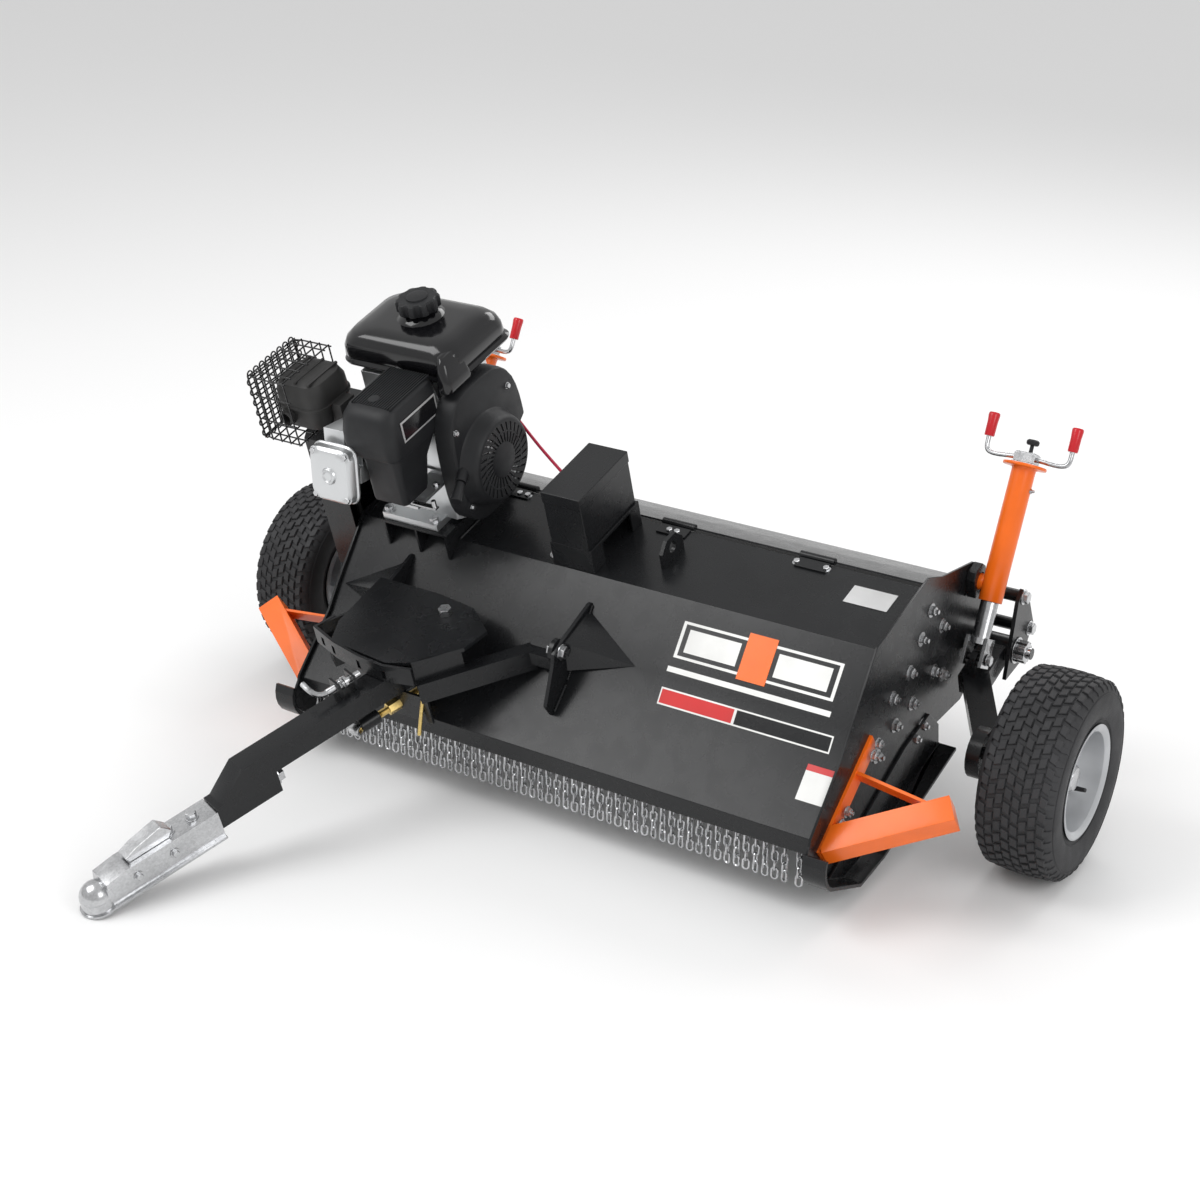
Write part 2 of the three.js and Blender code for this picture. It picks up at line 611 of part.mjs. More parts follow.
/** Scalloped fuel cap. */
function fuelCap() {
  const low = TANK.z1 + 14 + GAP;
  const points = [];
  const lobes = 8;
  for (let i = 0; i < lobes * 6; i += 1) {
    const angle = (i * Math.PI * 2) / (lobes * 6);
    const radius = CAP.r - 2.6 + 2.6 * Math.cos(angle * lobes);
    points.push([CAP.x + radius * Math.cos(angle), CAP.y + radius * Math.sin(angle)]);
  }
  return join(
    prismZ(outline(points), low, low + CAP.height - 5),
    rod([CAP.x, CAP.y, low + 2], [CAP.x, CAP.y, low + CAP.height], CAP.r - 7, CAP.r - 12, 24),
  );
}

/** Air cleaner: tall cover on a narrower intake elbow. */
function airCleaner() {
  const { x0, x1, y0, y1, z0, z1 } = AIR;
  const cover = loft(
    { x0, x1, y0, y1, z: z0 + 28, corner: 26 },
    { x0: x0 + 6, x1: x1 - 6, y0: y0 + 14, y1: y1 - 6, z: z1 - 14, corner: 28 },
  );
  const crown = loft(
    { x0: x0 + 6, x1: x1 - 6, y0: y0 + 14, y1: y1 - 6, z: z1 - 14.5, corner: 28 },
    { x0: x0 + 22, x1: x1 - 20, y0: y0 + 34, y1: y1 - 18, z: z1, corner: 26 },
  );
  const base = loft(
    { x0: x0 + 40, x1: x1 - 10, y0: y0 + 10, y1: y0 + 92, z: z0 - 82, corner: 14 },
    { x0: x0 + 38, x1: x1 - 4, y0: y0 + 6, y1: y1 - 30, z: z0 + 30, corner: 18 },
  );
  return join(cover, crown, base);
}

/** Flat throttle lever on the control plate, with an upturned grip. */
function throttleLever() {
  const low = CONTROL_PLATE_Z + GAP;
  const arm = box(-410, -308, -224, -212, low, low + 4);
  const grip = rod([-314, -218, low + 2], [-314, -218, low + 20], 5, 5, 10);
  const hub = rod([-378, -218, low], [-378, -218, low + 9], 10, 10, 12);
  return join(arm, grip, hub);
}

/** Box muffler with a pressed waist, its outlet tube in front and its flange towards the head. */
function muffler() {
  const { x0, x1, y0, y1, z0, z1 } = MUFFLER;
  const middle = (z0 + z1) / 2;
  const low = loft(
    { x0: x0 + 14, x1: x1 - 14, y0: y0 + 14, y1: y1 - 14, z: z0, corner: 22 },
    { x0, x1, y0, y1, z: middle, corner: 24 },
  );
  const high = loft(
    { x0, x1, y0, y1, z: middle - 0.5, corner: 24 },
    { x0: x0 + 14, x1: x1 - 14, y0: y0 + 14, y1: y1 - 14, z: z1, corner: 22 },
  );
  const pipe = rod([x0 + 44, y0 - 12, middle - 18], [x0 + 44, y0 + 20, middle - 18], 17, 17, 16);
  const bore = rod([x0 + 44, y0 - 20, middle - 18], [x0 + 44, y0 + 6, middle - 18], 12, 12, 16);
  const flange = box(x1 - 40, x1 + 23, y0 + 40, y0 + 90, z0 + 10, z0 + 60);
  return cut(join(low, high, pipe, flange), bore);
}

/** Wire guard round the muffler, open towards the engine. */
function mufflerCage() {
  const { x0, x1, y0, y1, z0, z1 } = CAGE;
  const levels = [z0, z0 + 48, z1 - 56, z1];
  const bars = [];
  for (const z of levels) {
    bars.push(rod([x1, y0, z], [x0, y0, z], 2, 2, 4), rod([x0, y0 - 1, z], [x0, y1 + 1, z], 2, 2, 4));
    bars.push(rod([x0, y1, z], [x1, y1, z], 2, 2, 4));
  }
  for (const x of [x0, (x0 + x1) / 2, x1 - 3]) {
    bars.push(
      rod([x, y0, levels[0]], [x, y0, levels[3]], 2, 2, 4),
      rod([x, y1, levels[0]], [x, y1, levels[3]], 2, 2, 4),
    );
    bars.push(
      rod([x, y0, levels[3]], [x, y1, levels[3]], 2, 2, 4),
      rod([x, y0, levels[0]], [x, y1, levels[0]], 2, 2, 4),
    );
  }
  const stay = rod([x0 + 1, (y0 + y1) / 2, levels[0]], [x0 + 1, (y0 + y1) / 2, levels[3]], 2, 2, 4);
  return join(...bars, stay);
}

// ---- battery ------------------------------------------------------------------------------

/** Open-sided stand that holds the battery box above the deck. */
function batteryTray() {
  const { x0, x1, y0, y1, z0 } = BATTERY;
  const low = DECK_Z + GAP;
  const top = box(x0 - 3, x1 + 3, y0 + 2, y1 + 3, z0 - 8, z0 - GAP);
  const front = box(x0 - 3, x1 + 3, y0 + 2, y0 + 6, low, z0 - 4);
  const rear = box(x0 - 3, x1 + 3, y1 - 1, y1 + 3, low, z0 - 4);
  const ends = [x0 - 3, x1 - 1].flatMap((x) => [
    box(x, x + 4, y0 + 2, y0 + 44, low, z0 - 4),
    box(x, x + 4, y1 - 32, y1 + 3, low, z0 - 4),
  ]);
  return join(top, front, rear, ...ends);
}

function batteryBox() {
  const { x0, x1, y0, y1, z0, z1 } = BATTERY;
  return box(x0, x1, y0, y1, z0, z1);
}

/** Battery cable, taut from the starter behind the recoil drum to the box. */
function batteryCable() {
  const start = [-330, 94, PLATFORM_Z + 148];
  const end = [BATTERY.x0 - 2.4, -33, BATTERY.z0 + 94];
  const middle = [(start[0] + end[0]) / 2, (start[1] + end[1]) / 2, (start[2] + end[2]) / 2 - 4];
  return sweptBar([start, middle, end], CABLE_R, 10, 8);
}

// ---- hitch --------------------------------------------------------------------------------

/** Height of the front panel's outer face at a given y. */
function panelZ(y) {
  const line = deckLine();
  const i = line.findIndex((point, k) => k > 0 && y >= point[0]);
  const [a, b] = [line[i - 1], line[i]];
  return a[1] + ((b[1] - a[1]) * (y - a[0])) / (b[0] - a[0]);
}

/** Everything below the front panel's outer face raised by a clearance. */
function panelRoom(clearance) {
  const top = deckLine().map(([y, z]) => [y, z + clearance]);
  return prismX(outline([...top, [LIP[0], 0], [DECK_REAR_Y, 0]]), -HOUSING_HALF, HOUSING_HALF);
}

/** Front bracket: upright plate with the hinge hole and a folded gusset on the outer side. */
function hitchBracket(index) {
  const outward = index === 0 ? -1 : 1;
  const face = BRACKET_X[index];
  const lift = 0.8;
  const foot = [-172, -248, -302, -364].map((y) => [y, panelZ(y) + lift]);
  const head = [
    [-376, 176], [FRAME_HINGE.y - 34, FRAME_HINGE.z - 12],
    [FRAME_HINGE.y - 24, FRAME_HINGE.z + 10], [FRAME_HINGE.y - 4, FRAME_HINGE.z + 17],
    [-180, 290],
  ];
  const plate = prismX(
    outline([...foot, ...head], [[FRAME_HINGE.y, FRAME_HINGE.z, 9]]), face,
    face - outward * BRACKET_THICK,
  );
  const apex = face + outward * 138;
  const root = face - outward * 2;
  const wedge = new ConvexGeometry([
    new THREE.Vector3(root, -184, panelZ(-184) + lift),
    new THREE.Vector3(root, FRAME_HINGE.y + 14, 268),
    new THREE.Vector3(root, -292, panelZ(-292) + 14),
    new THREE.Vector3(apex, PANEL_TOP[0], PANEL_TOP[1] + lift),
  ]);
  return join(plate, wedge);
}

/** Swing frame: top plate, slotted lock wall, two hinge arms and their uprights. */
function hitchFrame() {
  const low = TOP_PLATE_Z - TOP_PLATE_THICK;
  const rim = [
    [-466, -266], [-462, -416], [-438, -474], [-288, -489], [-245, -473], [-163, -392],
    [-150, -330], [-217, -280], [-312, -267],
  ];
  const plate = prismZ(outline(rim, [[PIVOT.x, PIVOT.y, 10.5]]), low, TOP_PLATE_Z);
  const wallLine = [[-484, -404], [-502, -452], [-430, -478], [-354, -494], [-288, -500], [-226, -488]];
  const wall = prismZ(sheetOutline(wallLine, -6), low - 34, TOP_PLATE_Z);
  const slots = [-474, -436, -358, -290].map((x) => box(x - 5, x + 5, -520, -440, low - 26, low - 6));
  const armRight = hitchArm([-238, -470], [-78, -290]);
  const uprightRight = hitchArm([-238, -470], [-172, -393], 6, 240, TOP_PLATE_Z - 1);
  const linkRight = box(-88, BRACKET_X[1] - BRACKET_THICK - GAP, -308, -284, 210, 240);
  const armLeft = hitchArm([-480, -446], [-423, -358]);
  const uprightLeft = hitchArm([-500, -448], [-460, -384], 6, 238, TOP_PLATE_Z - 1);
  const linkLeft = box(BRACKET_X[0] + BRACKET_THICK + GAP, -418, -368, -288, 210, 240);
  const ears = [
    hingeLug(BRACKET_X[0] + BRACKET_THICK + GAP, 1),
    hingeLug(BRACKET_X[1] - BRACKET_THICK - GAP, -1),
  ];
  const roof = cut(join(plate, wall), ...slots);
  const stays = join(armRight, uprightRight, linkRight, armLeft, uprightLeft, linkLeft, ...ears);
  return join(roof, cut(stays, panelRoom(3)));
}

/** Upright bar between two (x, y) points of the swing frame. */
function hitchArm(from, to, width = 30, z0 = HITCH_ARM_LOW_Z, z1 = 241) {
  const length = Math.hypot(to[0] - from[0], to[1] - from[1]);
  const bar = new THREE.BoxGeometry(width, length, z1 - z0);
  bar.rotateZ(-Math.atan2(to[0] - from[0], to[1] - from[1]));
  return bar.translate((from[0] + to[0]) / 2, (from[1] + to[1]) / 2, (z0 + z1) / 2);
}

/** Round-headed ear of the swing frame with its hinge bolt through the bracket's hole. */
function hingeLug(x, way) {
  const ear = rod([x, FRAME_HINGE.y, FRAME_HINGE.z], [x + way * 10, FRAME_HINGE.y, FRAME_HINGE.z], 24);
  const stem = box(
    Math.min(x, x + way * 10), Math.max(x, x + way * 10), FRAME_HINGE.y - 20,
    FRAME_HINGE.y + 12, 210, FRAME_HINGE.z,
  );
  const bolt = rod(
    [x + way * 18, FRAME_HINGE.y, FRAME_HINGE.z],
    [x - way * (BRACKET_THICK + 10), FRAME_HINGE.y, FRAME_HINGE.z], 8, 8, 12,
  );
  return join(ear, stem, bolt);
}

/** Pivot bolt through the top plate and the drawbar's rear end. */
function pivotBolt() {
  const head = rod(
    [PIVOT.x, PIVOT.y, TOP_PLATE_Z + GAP], [PIVOT.x, PIVOT.y, TOP_PLATE_Z + 15], 14, 14, 6,
  );
  const low = DRAWBAR_TOP_Z - TUBE - GAP;
  const shank = rod([PIVOT.x, PIVOT.y, low - 8], [PIVOT.x, PIVOT.y, TOP_PLATE_Z + 2], 10, 10, 16);
  const nut = rod([PIVOT.x, PIVOT.y, low - 11], [PIVOT.x, PIVOT.y, low], 13, 13, 6);
  return join(head, shank, nut);
}

/** Turns drawbar-frame geometry (along -Y from the pivot) to its rest direction. */
function swung(geometry) {
  return geometry.rotateZ(-TOW_YAW).translate(PIVOT.x, PIVOT.y, 0);
}

/** Drawbar: main tube, sloped nose plate and the lower tube that carries the coupler's swivel. */
function drawbar() {
  const h = TUBE / 2;
  const top = DRAWBAR_TOP_Z;
  const front = -DRAWBAR_LENGTH;
  const [tubeRear, tubeFront] = SWIVEL_TUBE;
  const side = [
    [DRAWBAR_TAIL, top], [front, top], [-tubeFront + 14, top - TUBE], [-tubeFront, top - TUBE],
    [-tubeFront, top - TUBE * 2], [-tubeRear, top - TUBE * 2], [-tubeRear, top - TUBE], [
      DRAWBAR_TAIL, top - TUBE,
    ],
  ];
  const body = prismX(outline(side), -h, h);
  const bore = rod(
    [0, -tubeFront - 20, top - TUBE * 1.5], [0, -tubeRear + 20, top - TUBE * 1.5], 14.5, 14.5,
    20,
  );
  const pivotHole = rod([0, 0, 100], [0, 0, 300], 10 + GAP, 10 + GAP, 20);
  const ears = [-236, -272].map((y) => box(-30, 6, y, y + 5, top - 3, top + 36));
  const pinHole = rod([-12, -300, LOCK_PIN_Z], [-12, -200, LOCK_PIN_Z], 8, 8, 16);
  const shapes = [body, ...ears];
  return cut(join(...shapes.map((shape) => swung(shape))), swung(bore), swung(pivotHole), swung(pinHole));
}

/** Cranked lock pin that slides in the drawbar's two ears. */
function lockPin() {
  const z = LOCK_PIN_Z;
  const pin = rod([-12, -292, z], [-12, -214, z], 7, 7, 16);
  const bend = sweptBar(
    [[-12, -286, z], [-13, -300, z + 1], [-18, -312, z + 6], [-30, -318, z + 14], [-52, -318, z + 18]],
    6, 8, 8,
  );
  const collar = rod([-12, -252, z], [-12, -246, z], 13, 13, 16);
  return join(...[pin, bend, collar].map((shape) => swung(shape)));
}

/** Pressed ball coupler on its swivel shaft. */
function coupler() {
  const h = COUPLER_HALF;
  const [tubeRear, tubeFront] = SWIVEL_TUBE;
  const rear = -tubeFront - 1;
  const ball = -BALL_REACH;
  const axisZ = DRAWBAR_TOP_Z - TUBE * 1.5;
  const low = COUPLER_FLOOR;
  const top = low + 64;
  const channel = prismX(
    outline([[rear, low], [rear, top], [ball + 62, top], [ball + 18, top - 6], [ball + 6, low]]),
    -h, h,
  );
  const hollow = prismX(
    outline([[rear - 8, low - 5], [rear - 8, top - 5], [ball + 66, top - 5], [ball + 44, low - 5]]),
    -h + 4, h - 4,
  );
  const dome = new THREE.SphereGeometry(33, 20, 12).translate(0, ball, low + 24);
  const skirt = rod([0, ball, low], [0, ball, low + 26], 34, 33, 24);
  const flangeRing = new THREE.CylinderGeometry(FLANGE_R, FLANGE_R, 5, 28)
    .rotateX(Math.PI / 2)
    .rotateZ(TOW_YAW)
    .translate(0, ball, low + 2.5);
  const flangeBar = box(-h - 7, h + 7, ball, rear, low, low + 5);
  const socket = new THREE.SphereGeometry(26, 20, 12).translate(0, ball, low + 20);
  const mouth = rod([0, ball, low - 5], [0, ball, low + 20], 26, 26, 24);
  const belowFlange = box(-60, 60, ball - 60, rear + 10, low - 40, low);
  const slot = box(-h + 4, h - 4, ball + 40, rear - 8, low - 5, low + 8);
  const shell = cut(
    join(channel, cut(dome, belowFlange), skirt, flangeRing, flangeBar), hollow, socket, mouth,
    slot,
  );
  const shaft = rod([0, rear - 4, axisZ], [0, -tubeRear + 14, axisZ], 14, 14, 20);
  const washer = rod([0, -tubeRear + 1, axisZ], [0, -tubeRear + 5, axisZ], 22, 22, 24);
  const nut = rod([0, -tubeRear + 4, axisZ], [0, -tubeRear + 17, axisZ], 18, 18, 6);
  return join(shell, shaft, washer, nut);
}

/** Coupler latch: a folded lever hinged in the coupler's roof. */
function couplerLatch() {
  const ball = -BALL_REACH;
  const top = COUPLER_FLOOR + 64;
  const side = outline([
    [ball + 78, top + GAP], [ball + 164, top + GAP], [ball + 174, top + 14],
    [ball + 156, top + 34], [ball + 98, top + 22], [ball + 72, top + 12],
  ]);
  return cut(
    prismX(side, -16, 16),
    prismX(
      outline([
        [ball + 66, top + 4], [ball + 154, top + 4], [ball + 154, top + 28],
        [ball + 102, top + 17], [ball + 66, top + 7],
      ]),
      -12, 12,
    ),
  );
}

/** Levelling screw: lies under the drawbar, hung from a tab on the swing frame, its foot on the panel. */
function levelScrew() {
  const z = LEVEL_SCREW_Z;
  const tabTop = HITCH_ARM_LOW_Z - GAP;
  const onAxis = (along) => [
    PIVOT.x - along * Math.sin(TOW_YAW), PIVOT.y - along * Math.cos(TOW_YAW), z,
  ];
  const tab = box(-344, -228, -464, -458, z - 30, tabTop);
  const thread = rod(onAxis(95), onAxis(262), 8, 8, 12);
  const barrel = rod(onAxis(152), onAxis(182), 13, 13, 6);
  const sleeve = rod(onAxis(206), onAxis(250), 15, 15, 12);
  const [x, y] = onAxis(258);
  const eye = rod([x - 12, y, z], [x + 12, y, z], 13, 13, 12);
  const footLine = [-420, -402].map((at) => [at, panelZ(at) + GAP * 3]);
  const foot = prismX(outline([...footLine, [-402, z + 4], [-420, z + 4]]), -301, -285);
  const handle = rod([-242, -462, tabTop - 10], [-254, -484, z - 50], 4, 4, 8);
  return join(tab, thread, barrel, sleeve, eye, foot, handle);
}

/** Rail with the hanging chain strands behind the lip. */
function chainCurtain() {
  const y = LIP[0] + 12;
  const z = LIP[1] - 30;
  const rail = rod([16 - HOUSING_HALF, y, z], [HOUSING_HALF - 16, y, z], 5, 5, 8);
  const strands = [];
  const count = 56;
  for (let i = 0; i < count; i += 1) {
    const x = 26 - HOUSING_HALF + (i * (HOUSING_HALF * 2 - 87)) / (count - 1);
    strands.push(box(x - 4, x + 4, y - 3, y + 3, z - 108, z));
  }
  strands.push(box(HOUSING_HALF - 34, HOUSING_HALF - 26, y - 3, y + 3, z - 108, z));
  const hung = strands.map((strand) => tilted(strand, -REST_TILT, y, z));
  return join(rail, ...hung);
}

// ---- wheel guards -------------------------------------------------------------------------

/** Bumper in front of a wheel: flat bar on the side plate, outrigger tube and brace. */
function guard(side) {
  const lean = THREE.MathUtils.degToRad(21.8);
  const face = PLATE_OUT + 6 + GAP;
  const bar = prismX(outline([[-128, -20], [124, -20], [124, 20], [-128, 20]]), face - 6, face);
  const tube = new THREE.BoxGeometry(250, TUBE, TUBE);
  const swing = Math.atan2(136, 206);
  tube.rotateZ(swing).translate(face + 96, -38, 0);
  const tubeCut = box(face - 250, face, -300, 300, -60, 60);
  const brace = new THREE.BoxGeometry(190, 6, 34);
  brace.rotateZ(-0.12).translate(face + 86, 36, 0);
  const placed = join(cut(join(tube, brace), tubeCut), bar);
  return placedGuard(placed, side, lean);
}

/** Leans a guard to the housing's front slope and mirrors it for the left side. */
function placedGuard(shape, side, lean) {
  const geometry = geometryOf(shape).rotateX(lean).translate(0, -300, 98);
  if (side > 0) return geometry;
  return mirrored(geometry);
}

/** Mirror image across the machine's centre plane. */
function mirrored(shape) {
  const geometry = geometryOf(shape);
  geometry.scale(-1, 1, 1);
  const index = geometry.index.array;
  for (let i = 0; i < index.length; i += 3) {
    [index[i], index[i + 2]] = [index[i + 2], index[i]];
  }
  return geometry;
}

// ---- wheel arm and jack ---------------------------------------------------------------------

/** Outer bracket: plate outside the arm and jack, spaced off the side plate by two tubes. */
function outerBracket() {
  const { y, z } = ARM_PIVOT;
  const rim = [
    [y - 56, z - 36], [y + 24, z - 46], [y + 88, z + 8], [y + 70, z + 96], [y + 46, z + 124],
    [y + 22, z + 112], [y - 6, z + 60],
  ];
  const plate = prismX(outline(rim, [[y, z, 13]]), OUTER_BRACKET_X, OUTER_BRACKET_X + 8);
  const spacers = [[y + 46, z + 104], [y + 66, z + 8]].map(([py, pz]) => rod(
    [PLATE_OUT + GAP, py, pz], [OUTER_BRACKET_X + 2, py, pz], 13, 13, 16,
  ));
  return join(plate, ...spacers);
}

/** Trailing wheel arm: pivot sleeve, diagonal beam, clevis lug, hub plate and spindle. */
function wheelArm() {
  const { y, z } = ARM_PIVOT;
  const sleeve = rod([PLATE_OUT + 3, y, z], [OUTER_BRACKET_X - 3, y, z], 27);
  const bolt = rod([PLATE_OUT - 20, y, z], [OUTER_BRACKET_X + 42, y, z], 12, 12, 16);
  const nut = rod([OUTER_BRACKET_X + 8 + 1, y, z], [OUTER_BRACKET_X + 32, y, z], 23, 23, 6);
  const reach = beam([JACK_X - 4, y - 4, z - 2], [JACK_X - 4, 150, 18], 54, 46);
  const diagonal = beam([JACK_X - 6, 176, 22], [WHEEL_X - 140, 22, 0], 54, 54);
  const lug = prismX(
    outline([
      [CLEVIS.y - 26, 22], [CLEVIS.y + 34, 22], [CLEVIS.y + 14, CLEVIS.z + 8],
      [CLEVIS.y, CLEVIS.z + 15], [CLEVIS.y - 14, CLEVIS.z + 8],
    ]),
    JACK_X - 7, JACK_X + 7,
  );
  const pin = rod([JACK_X - 32, CLEVIS.y, CLEVIS.z], [JACK_X + 30, CLEVIS.y, CLEVIS.z], 7, 7, 16);
  const hubPlate = rod([HUB_PLATE_X[0], 0, 0], [HUB_PLATE_X[1], 0, 0], 52);
  const spindle = rod([HUB_PLATE_X[1] - 10, 0, 0], [WHEEL_X + 30, 0, 0], SPINDLE_R, SPINDLE_R, 20);
  return join(sleeve, bolt, nut, reach, diagonal, lug, pin, hubPlate, spindle);
}

/** Square-section beam between two points, `width` across X-Y and `height` upright. */
function beam(from, to, width, height) {
  const a = new THREE.Vector3(...from);
  const b = new THREE.Vector3(...to);
  const along = b.clone().sub(a);
  const geometry = new THREE.BoxGeometry(width, along.length(), height);
  const forward = along.clone().normalize();
  const across = new THREE.Vector3().crossVectors(forward, new THREE.Vector3(0, 0, 1)).normalize();
  const up = new THREE.Vector3().crossVectors(across, forward);
  geometry.applyMatrix4(new THREE.Matrix4().makeBasis(across, forward, up));
  const middle = a.add(b).multiplyScalar(0.5);
  return geometry.translate(middle.x, middle.y, middle.z);
}

/** Unit vector up the jack's axis, in (Y, Z). */
function jackAxis() {
  const length = Math.hypot(TRUNNION.y - CLEVIS.y, TRUNNION.z - CLEVIS.z);
  return { y: (TRUNNION.y - CLEVIS.y) / length, z: (TRUNNION.z - CLEVIS.z) / length, length };
}

/** Point on the jack's axis, a distance above the trunnion. */
function onJack(distance, x = JACK_X) {
  const axis = jackAxis();
  return [x, TRUNNION.y + axis.y * distance, TRUNNION.z + axis.z * distance];
}

/** Outer jack tube with its top flange and the trunnion stub. */
function jackOuter() {
  const tube = rod(onJack(-JACK_BELOW), onJack(JACK_ABOVE), JACK_TUBE_R);
  const flange = rod(onJack(JACK_ABOVE - 1), onJack(JACK_ABOVE + 5), 44, 44, 28);
  const stub = rod(
    [PLATE_OUT + 2, TRUNNION.y, TRUNNION.z], [JACK_X, TRUNNION.y, TRUNNION.z], 17, 17, 20,
  );
  const bore = rod(onJack(-JACK_BELOW - 10), onJack(JACK_ABOVE - 8), JACK_INNER_R + 1.2);
  const screwHole = rod(onJack(JACK_ABOVE - 20), onJack(JACK_ABOVE + 10), 9, 9, 16);
  return cut(join(tube, flange, stub), bore, screwHole);
}

/** Trunnion block on the side plate that the jack's stub turns in. */
function trunnionBlock() {
  const { y, z } = TRUNNION;
  const block = outline([
    [y - 28, z - 24], [y + 28, z - 24], [y + 28, z + 20], [y + 16, z + 34], [y - 16, z + 34],
    [y - 28, z + 20],
  ]);
  const body = prismX(block, PLATE_OUT + GAP, PLATE_OUT + 20);
  return cut(body, rod([PLATE_OUT - 5, y, z], [PLATE_OUT + 30, y, z], 18, 18, 20));
}

/** Inner jack tube with the forked clevis at its foot. */
function jackInner() {
  const reach = jackAxis().length;
  const tube = rod(onJack(-reach + 34), onJack(110), JACK_INNER_R);
  const hollow = rod(onJack(-reach + 60), onJack(130), JACK_INNER_R - 5);
  const head = rod(onJack(-reach + 28), onJack(-reach + 40), JACK_INNER_R + 7);
  const cheeks = [-1, 1].map((way) => {
    const x = JACK_X + way * 16;
    const slab = new THREE.BoxGeometry(7, 44, 60).translate(0, 0, 12);
    slab.rotateX(-Math.atan2(jackAxis().y, jackAxis().z));
    return slab.translate(x + way * 3.5, CLEVIS.y, CLEVIS.z);
  });
  const pinSpace = rod(
    [JACK_X - 40, CLEVIS.y, CLEVIS.z], [JACK_X + 40, CLEVIS.y, CLEVIS.z], 7 + CLEVIS_GAP,
    7 + CLEVIS_GAP, 20,
  );
  return cut(join(cut(tube, hollow), head, ...cheeks), pinSpace);
}

/** Two-handled crank on the jack screw. */
function jackCrank(turn) {
  const base = JACK_ABOVE + 5 + GAP;
  const hub = new THREE.BoxGeometry(44, 34, 24).translate(0, 0, base + 12);
  const cap = rod([0, 0, base + 20], [0, 0, base + 30], 12, 10, 16);
  const screw = rod([0, 0, JACK_ABOVE - 120], [0, 0, base + 4], 7, 7, 12);
  const bars = [-1, 1].map((way) => sweptBar([
    [way * 14, 0, base + 12], [way * 40, 0, base + 11], [way * (CRANK_REACH - 14), 0, base + 10],
    [way * (CRANK_REACH - 3), 0, base + 14], [way * CRANK_REACH, 0, base + 24], [
      way * CRANK_REACH, 0, base + GRIP_LIFT + 20,
    ],
  ], 5, 12, 8));
  const lean = -Math.atan2(jackAxis().y, jackAxis().z);
  const shapes = [hub, cap, screw, ...bars].map((shape) => shape
    .rotateZ(turn)
    .rotateX(lean)
    .translate(JACK_X, TRUNNION.y, TRUNNION.z));
  return join(...shapes);
}

/** One red hand grip, closed at its top end and slipped over the crank's upturned end. */
function crankGrip(turn, way) {
  const base = JACK_ABOVE + 5 + GAP;
  const grip = cut(
    rod(
      [way * CRANK_REACH, 0, base + GRIP_LIFT], [way * CRANK_REACH, 0, base + GRIP_LIFT + 48],
      10, 12, 16,
    ),
    rod(
      [way * CRANK_REACH, 0, base + GRIP_LIFT - 4],
      [way * CRANK_REACH, 0, base + GRIP_LIFT + 24], 6, 6, 12,
    ),
  );
  return geometryOf(grip).rotateZ(turn).rotateX(-Math.atan2(
    jackAxis().y, jackAxis().z,
  )).translate(JACK_X, TRUNNION.y, TRUNNION.z);
}

/** Pneumatic tyre: a hollow ring, open towards the rim. */
function tyre() {
  const profile = [
    [-RIM_HALF + 2, RIM_R + 1], [-RIM_HALF + 1, RIM_R + 16], [-TYRE_HALF + 4, RIM_R + 34],
    [-TYRE_HALF, RIM_R + 57], [-TYRE_HALF + 5, TYRE_R - 21], [-TYRE_HALF + 18, TYRE_R - 6],
    [-40, TYRE_R - 1.5], [0, TYRE_R], [40, TYRE_R - 1.5],
    [TYRE_HALF - 18, TYRE_R - 6], [TYRE_HALF - 5, TYRE_R - 21], [TYRE_HALF, RIM_R + 57],
    [TYRE_HALF - 4, RIM_R + 34],
    [RIM_HALF - 1, RIM_R + 16], [RIM_HALF - 2, RIM_R + 1], [RIM_HALF - 14, RIM_R + 1],
    [RIM_HALF - 12, RIM_R + 22], [TYRE_HALF - 14, RIM_R + 49], [TYRE_HALF - 22, TYRE_R - 21],
    [0, TYRE_R - 12],
    [-TYRE_HALF + 22, TYRE_R - 21], [-TYRE_HALF + 14, RIM_R + 49],
    [-RIM_HALF + 12, RIM_R + 22], [-RIM_HALF + 14, RIM_R + 1],
  ];
  return turnedX(profile, WHEEL_X, 0, 0, WHEEL_SEGMENTS).rotateX(-REST_TILT);
}

/** Pressed steel wheel with its hub. */
function rim() {
  const profile = [
    [-RIM_HALF - 5, RIM_FLANGE_R], [-RIM_HALF - 5, RIM_R - 4], [-20, RIM_R - 10], [-2, RIM_R - 14],
    [8, 62], [4, 34], [-60, 34], [-60, SPINDLE_R + GAP], [32, SPINDLE_R + GAP], [32, 30],
    [12, 34], [13, 62],
    [6, RIM_R - 12], [20, RIM_R - 8], [RIM_HALF - 6, RIM_R - 4], [RIM_HALF + 1, RIM_R - 3],
    [RIM_HALF + 6, RIM_FLANGE_R - 2],
    [RIM_HALF + 4, RIM_FLANGE_R], [RIM_HALF + 1, RIM_R + 2], [RIM_HALF - 3, RIM_R], [-RIM_HALF, RIM_R],
    [-RIM_HALF, RIM_FLANGE_R],
  ];
  return turnedX(profile, WHEEL_X, 0, 0, WHEEL_SEGMENTS).rotateX(-REST_TILT);
}

// ---- assembly -----------------------------------------------------------------------------

const BLACK = 0x17181a;
const ORANGE = 0xf26a1b;
const ZINC = 0xc4c8cc;

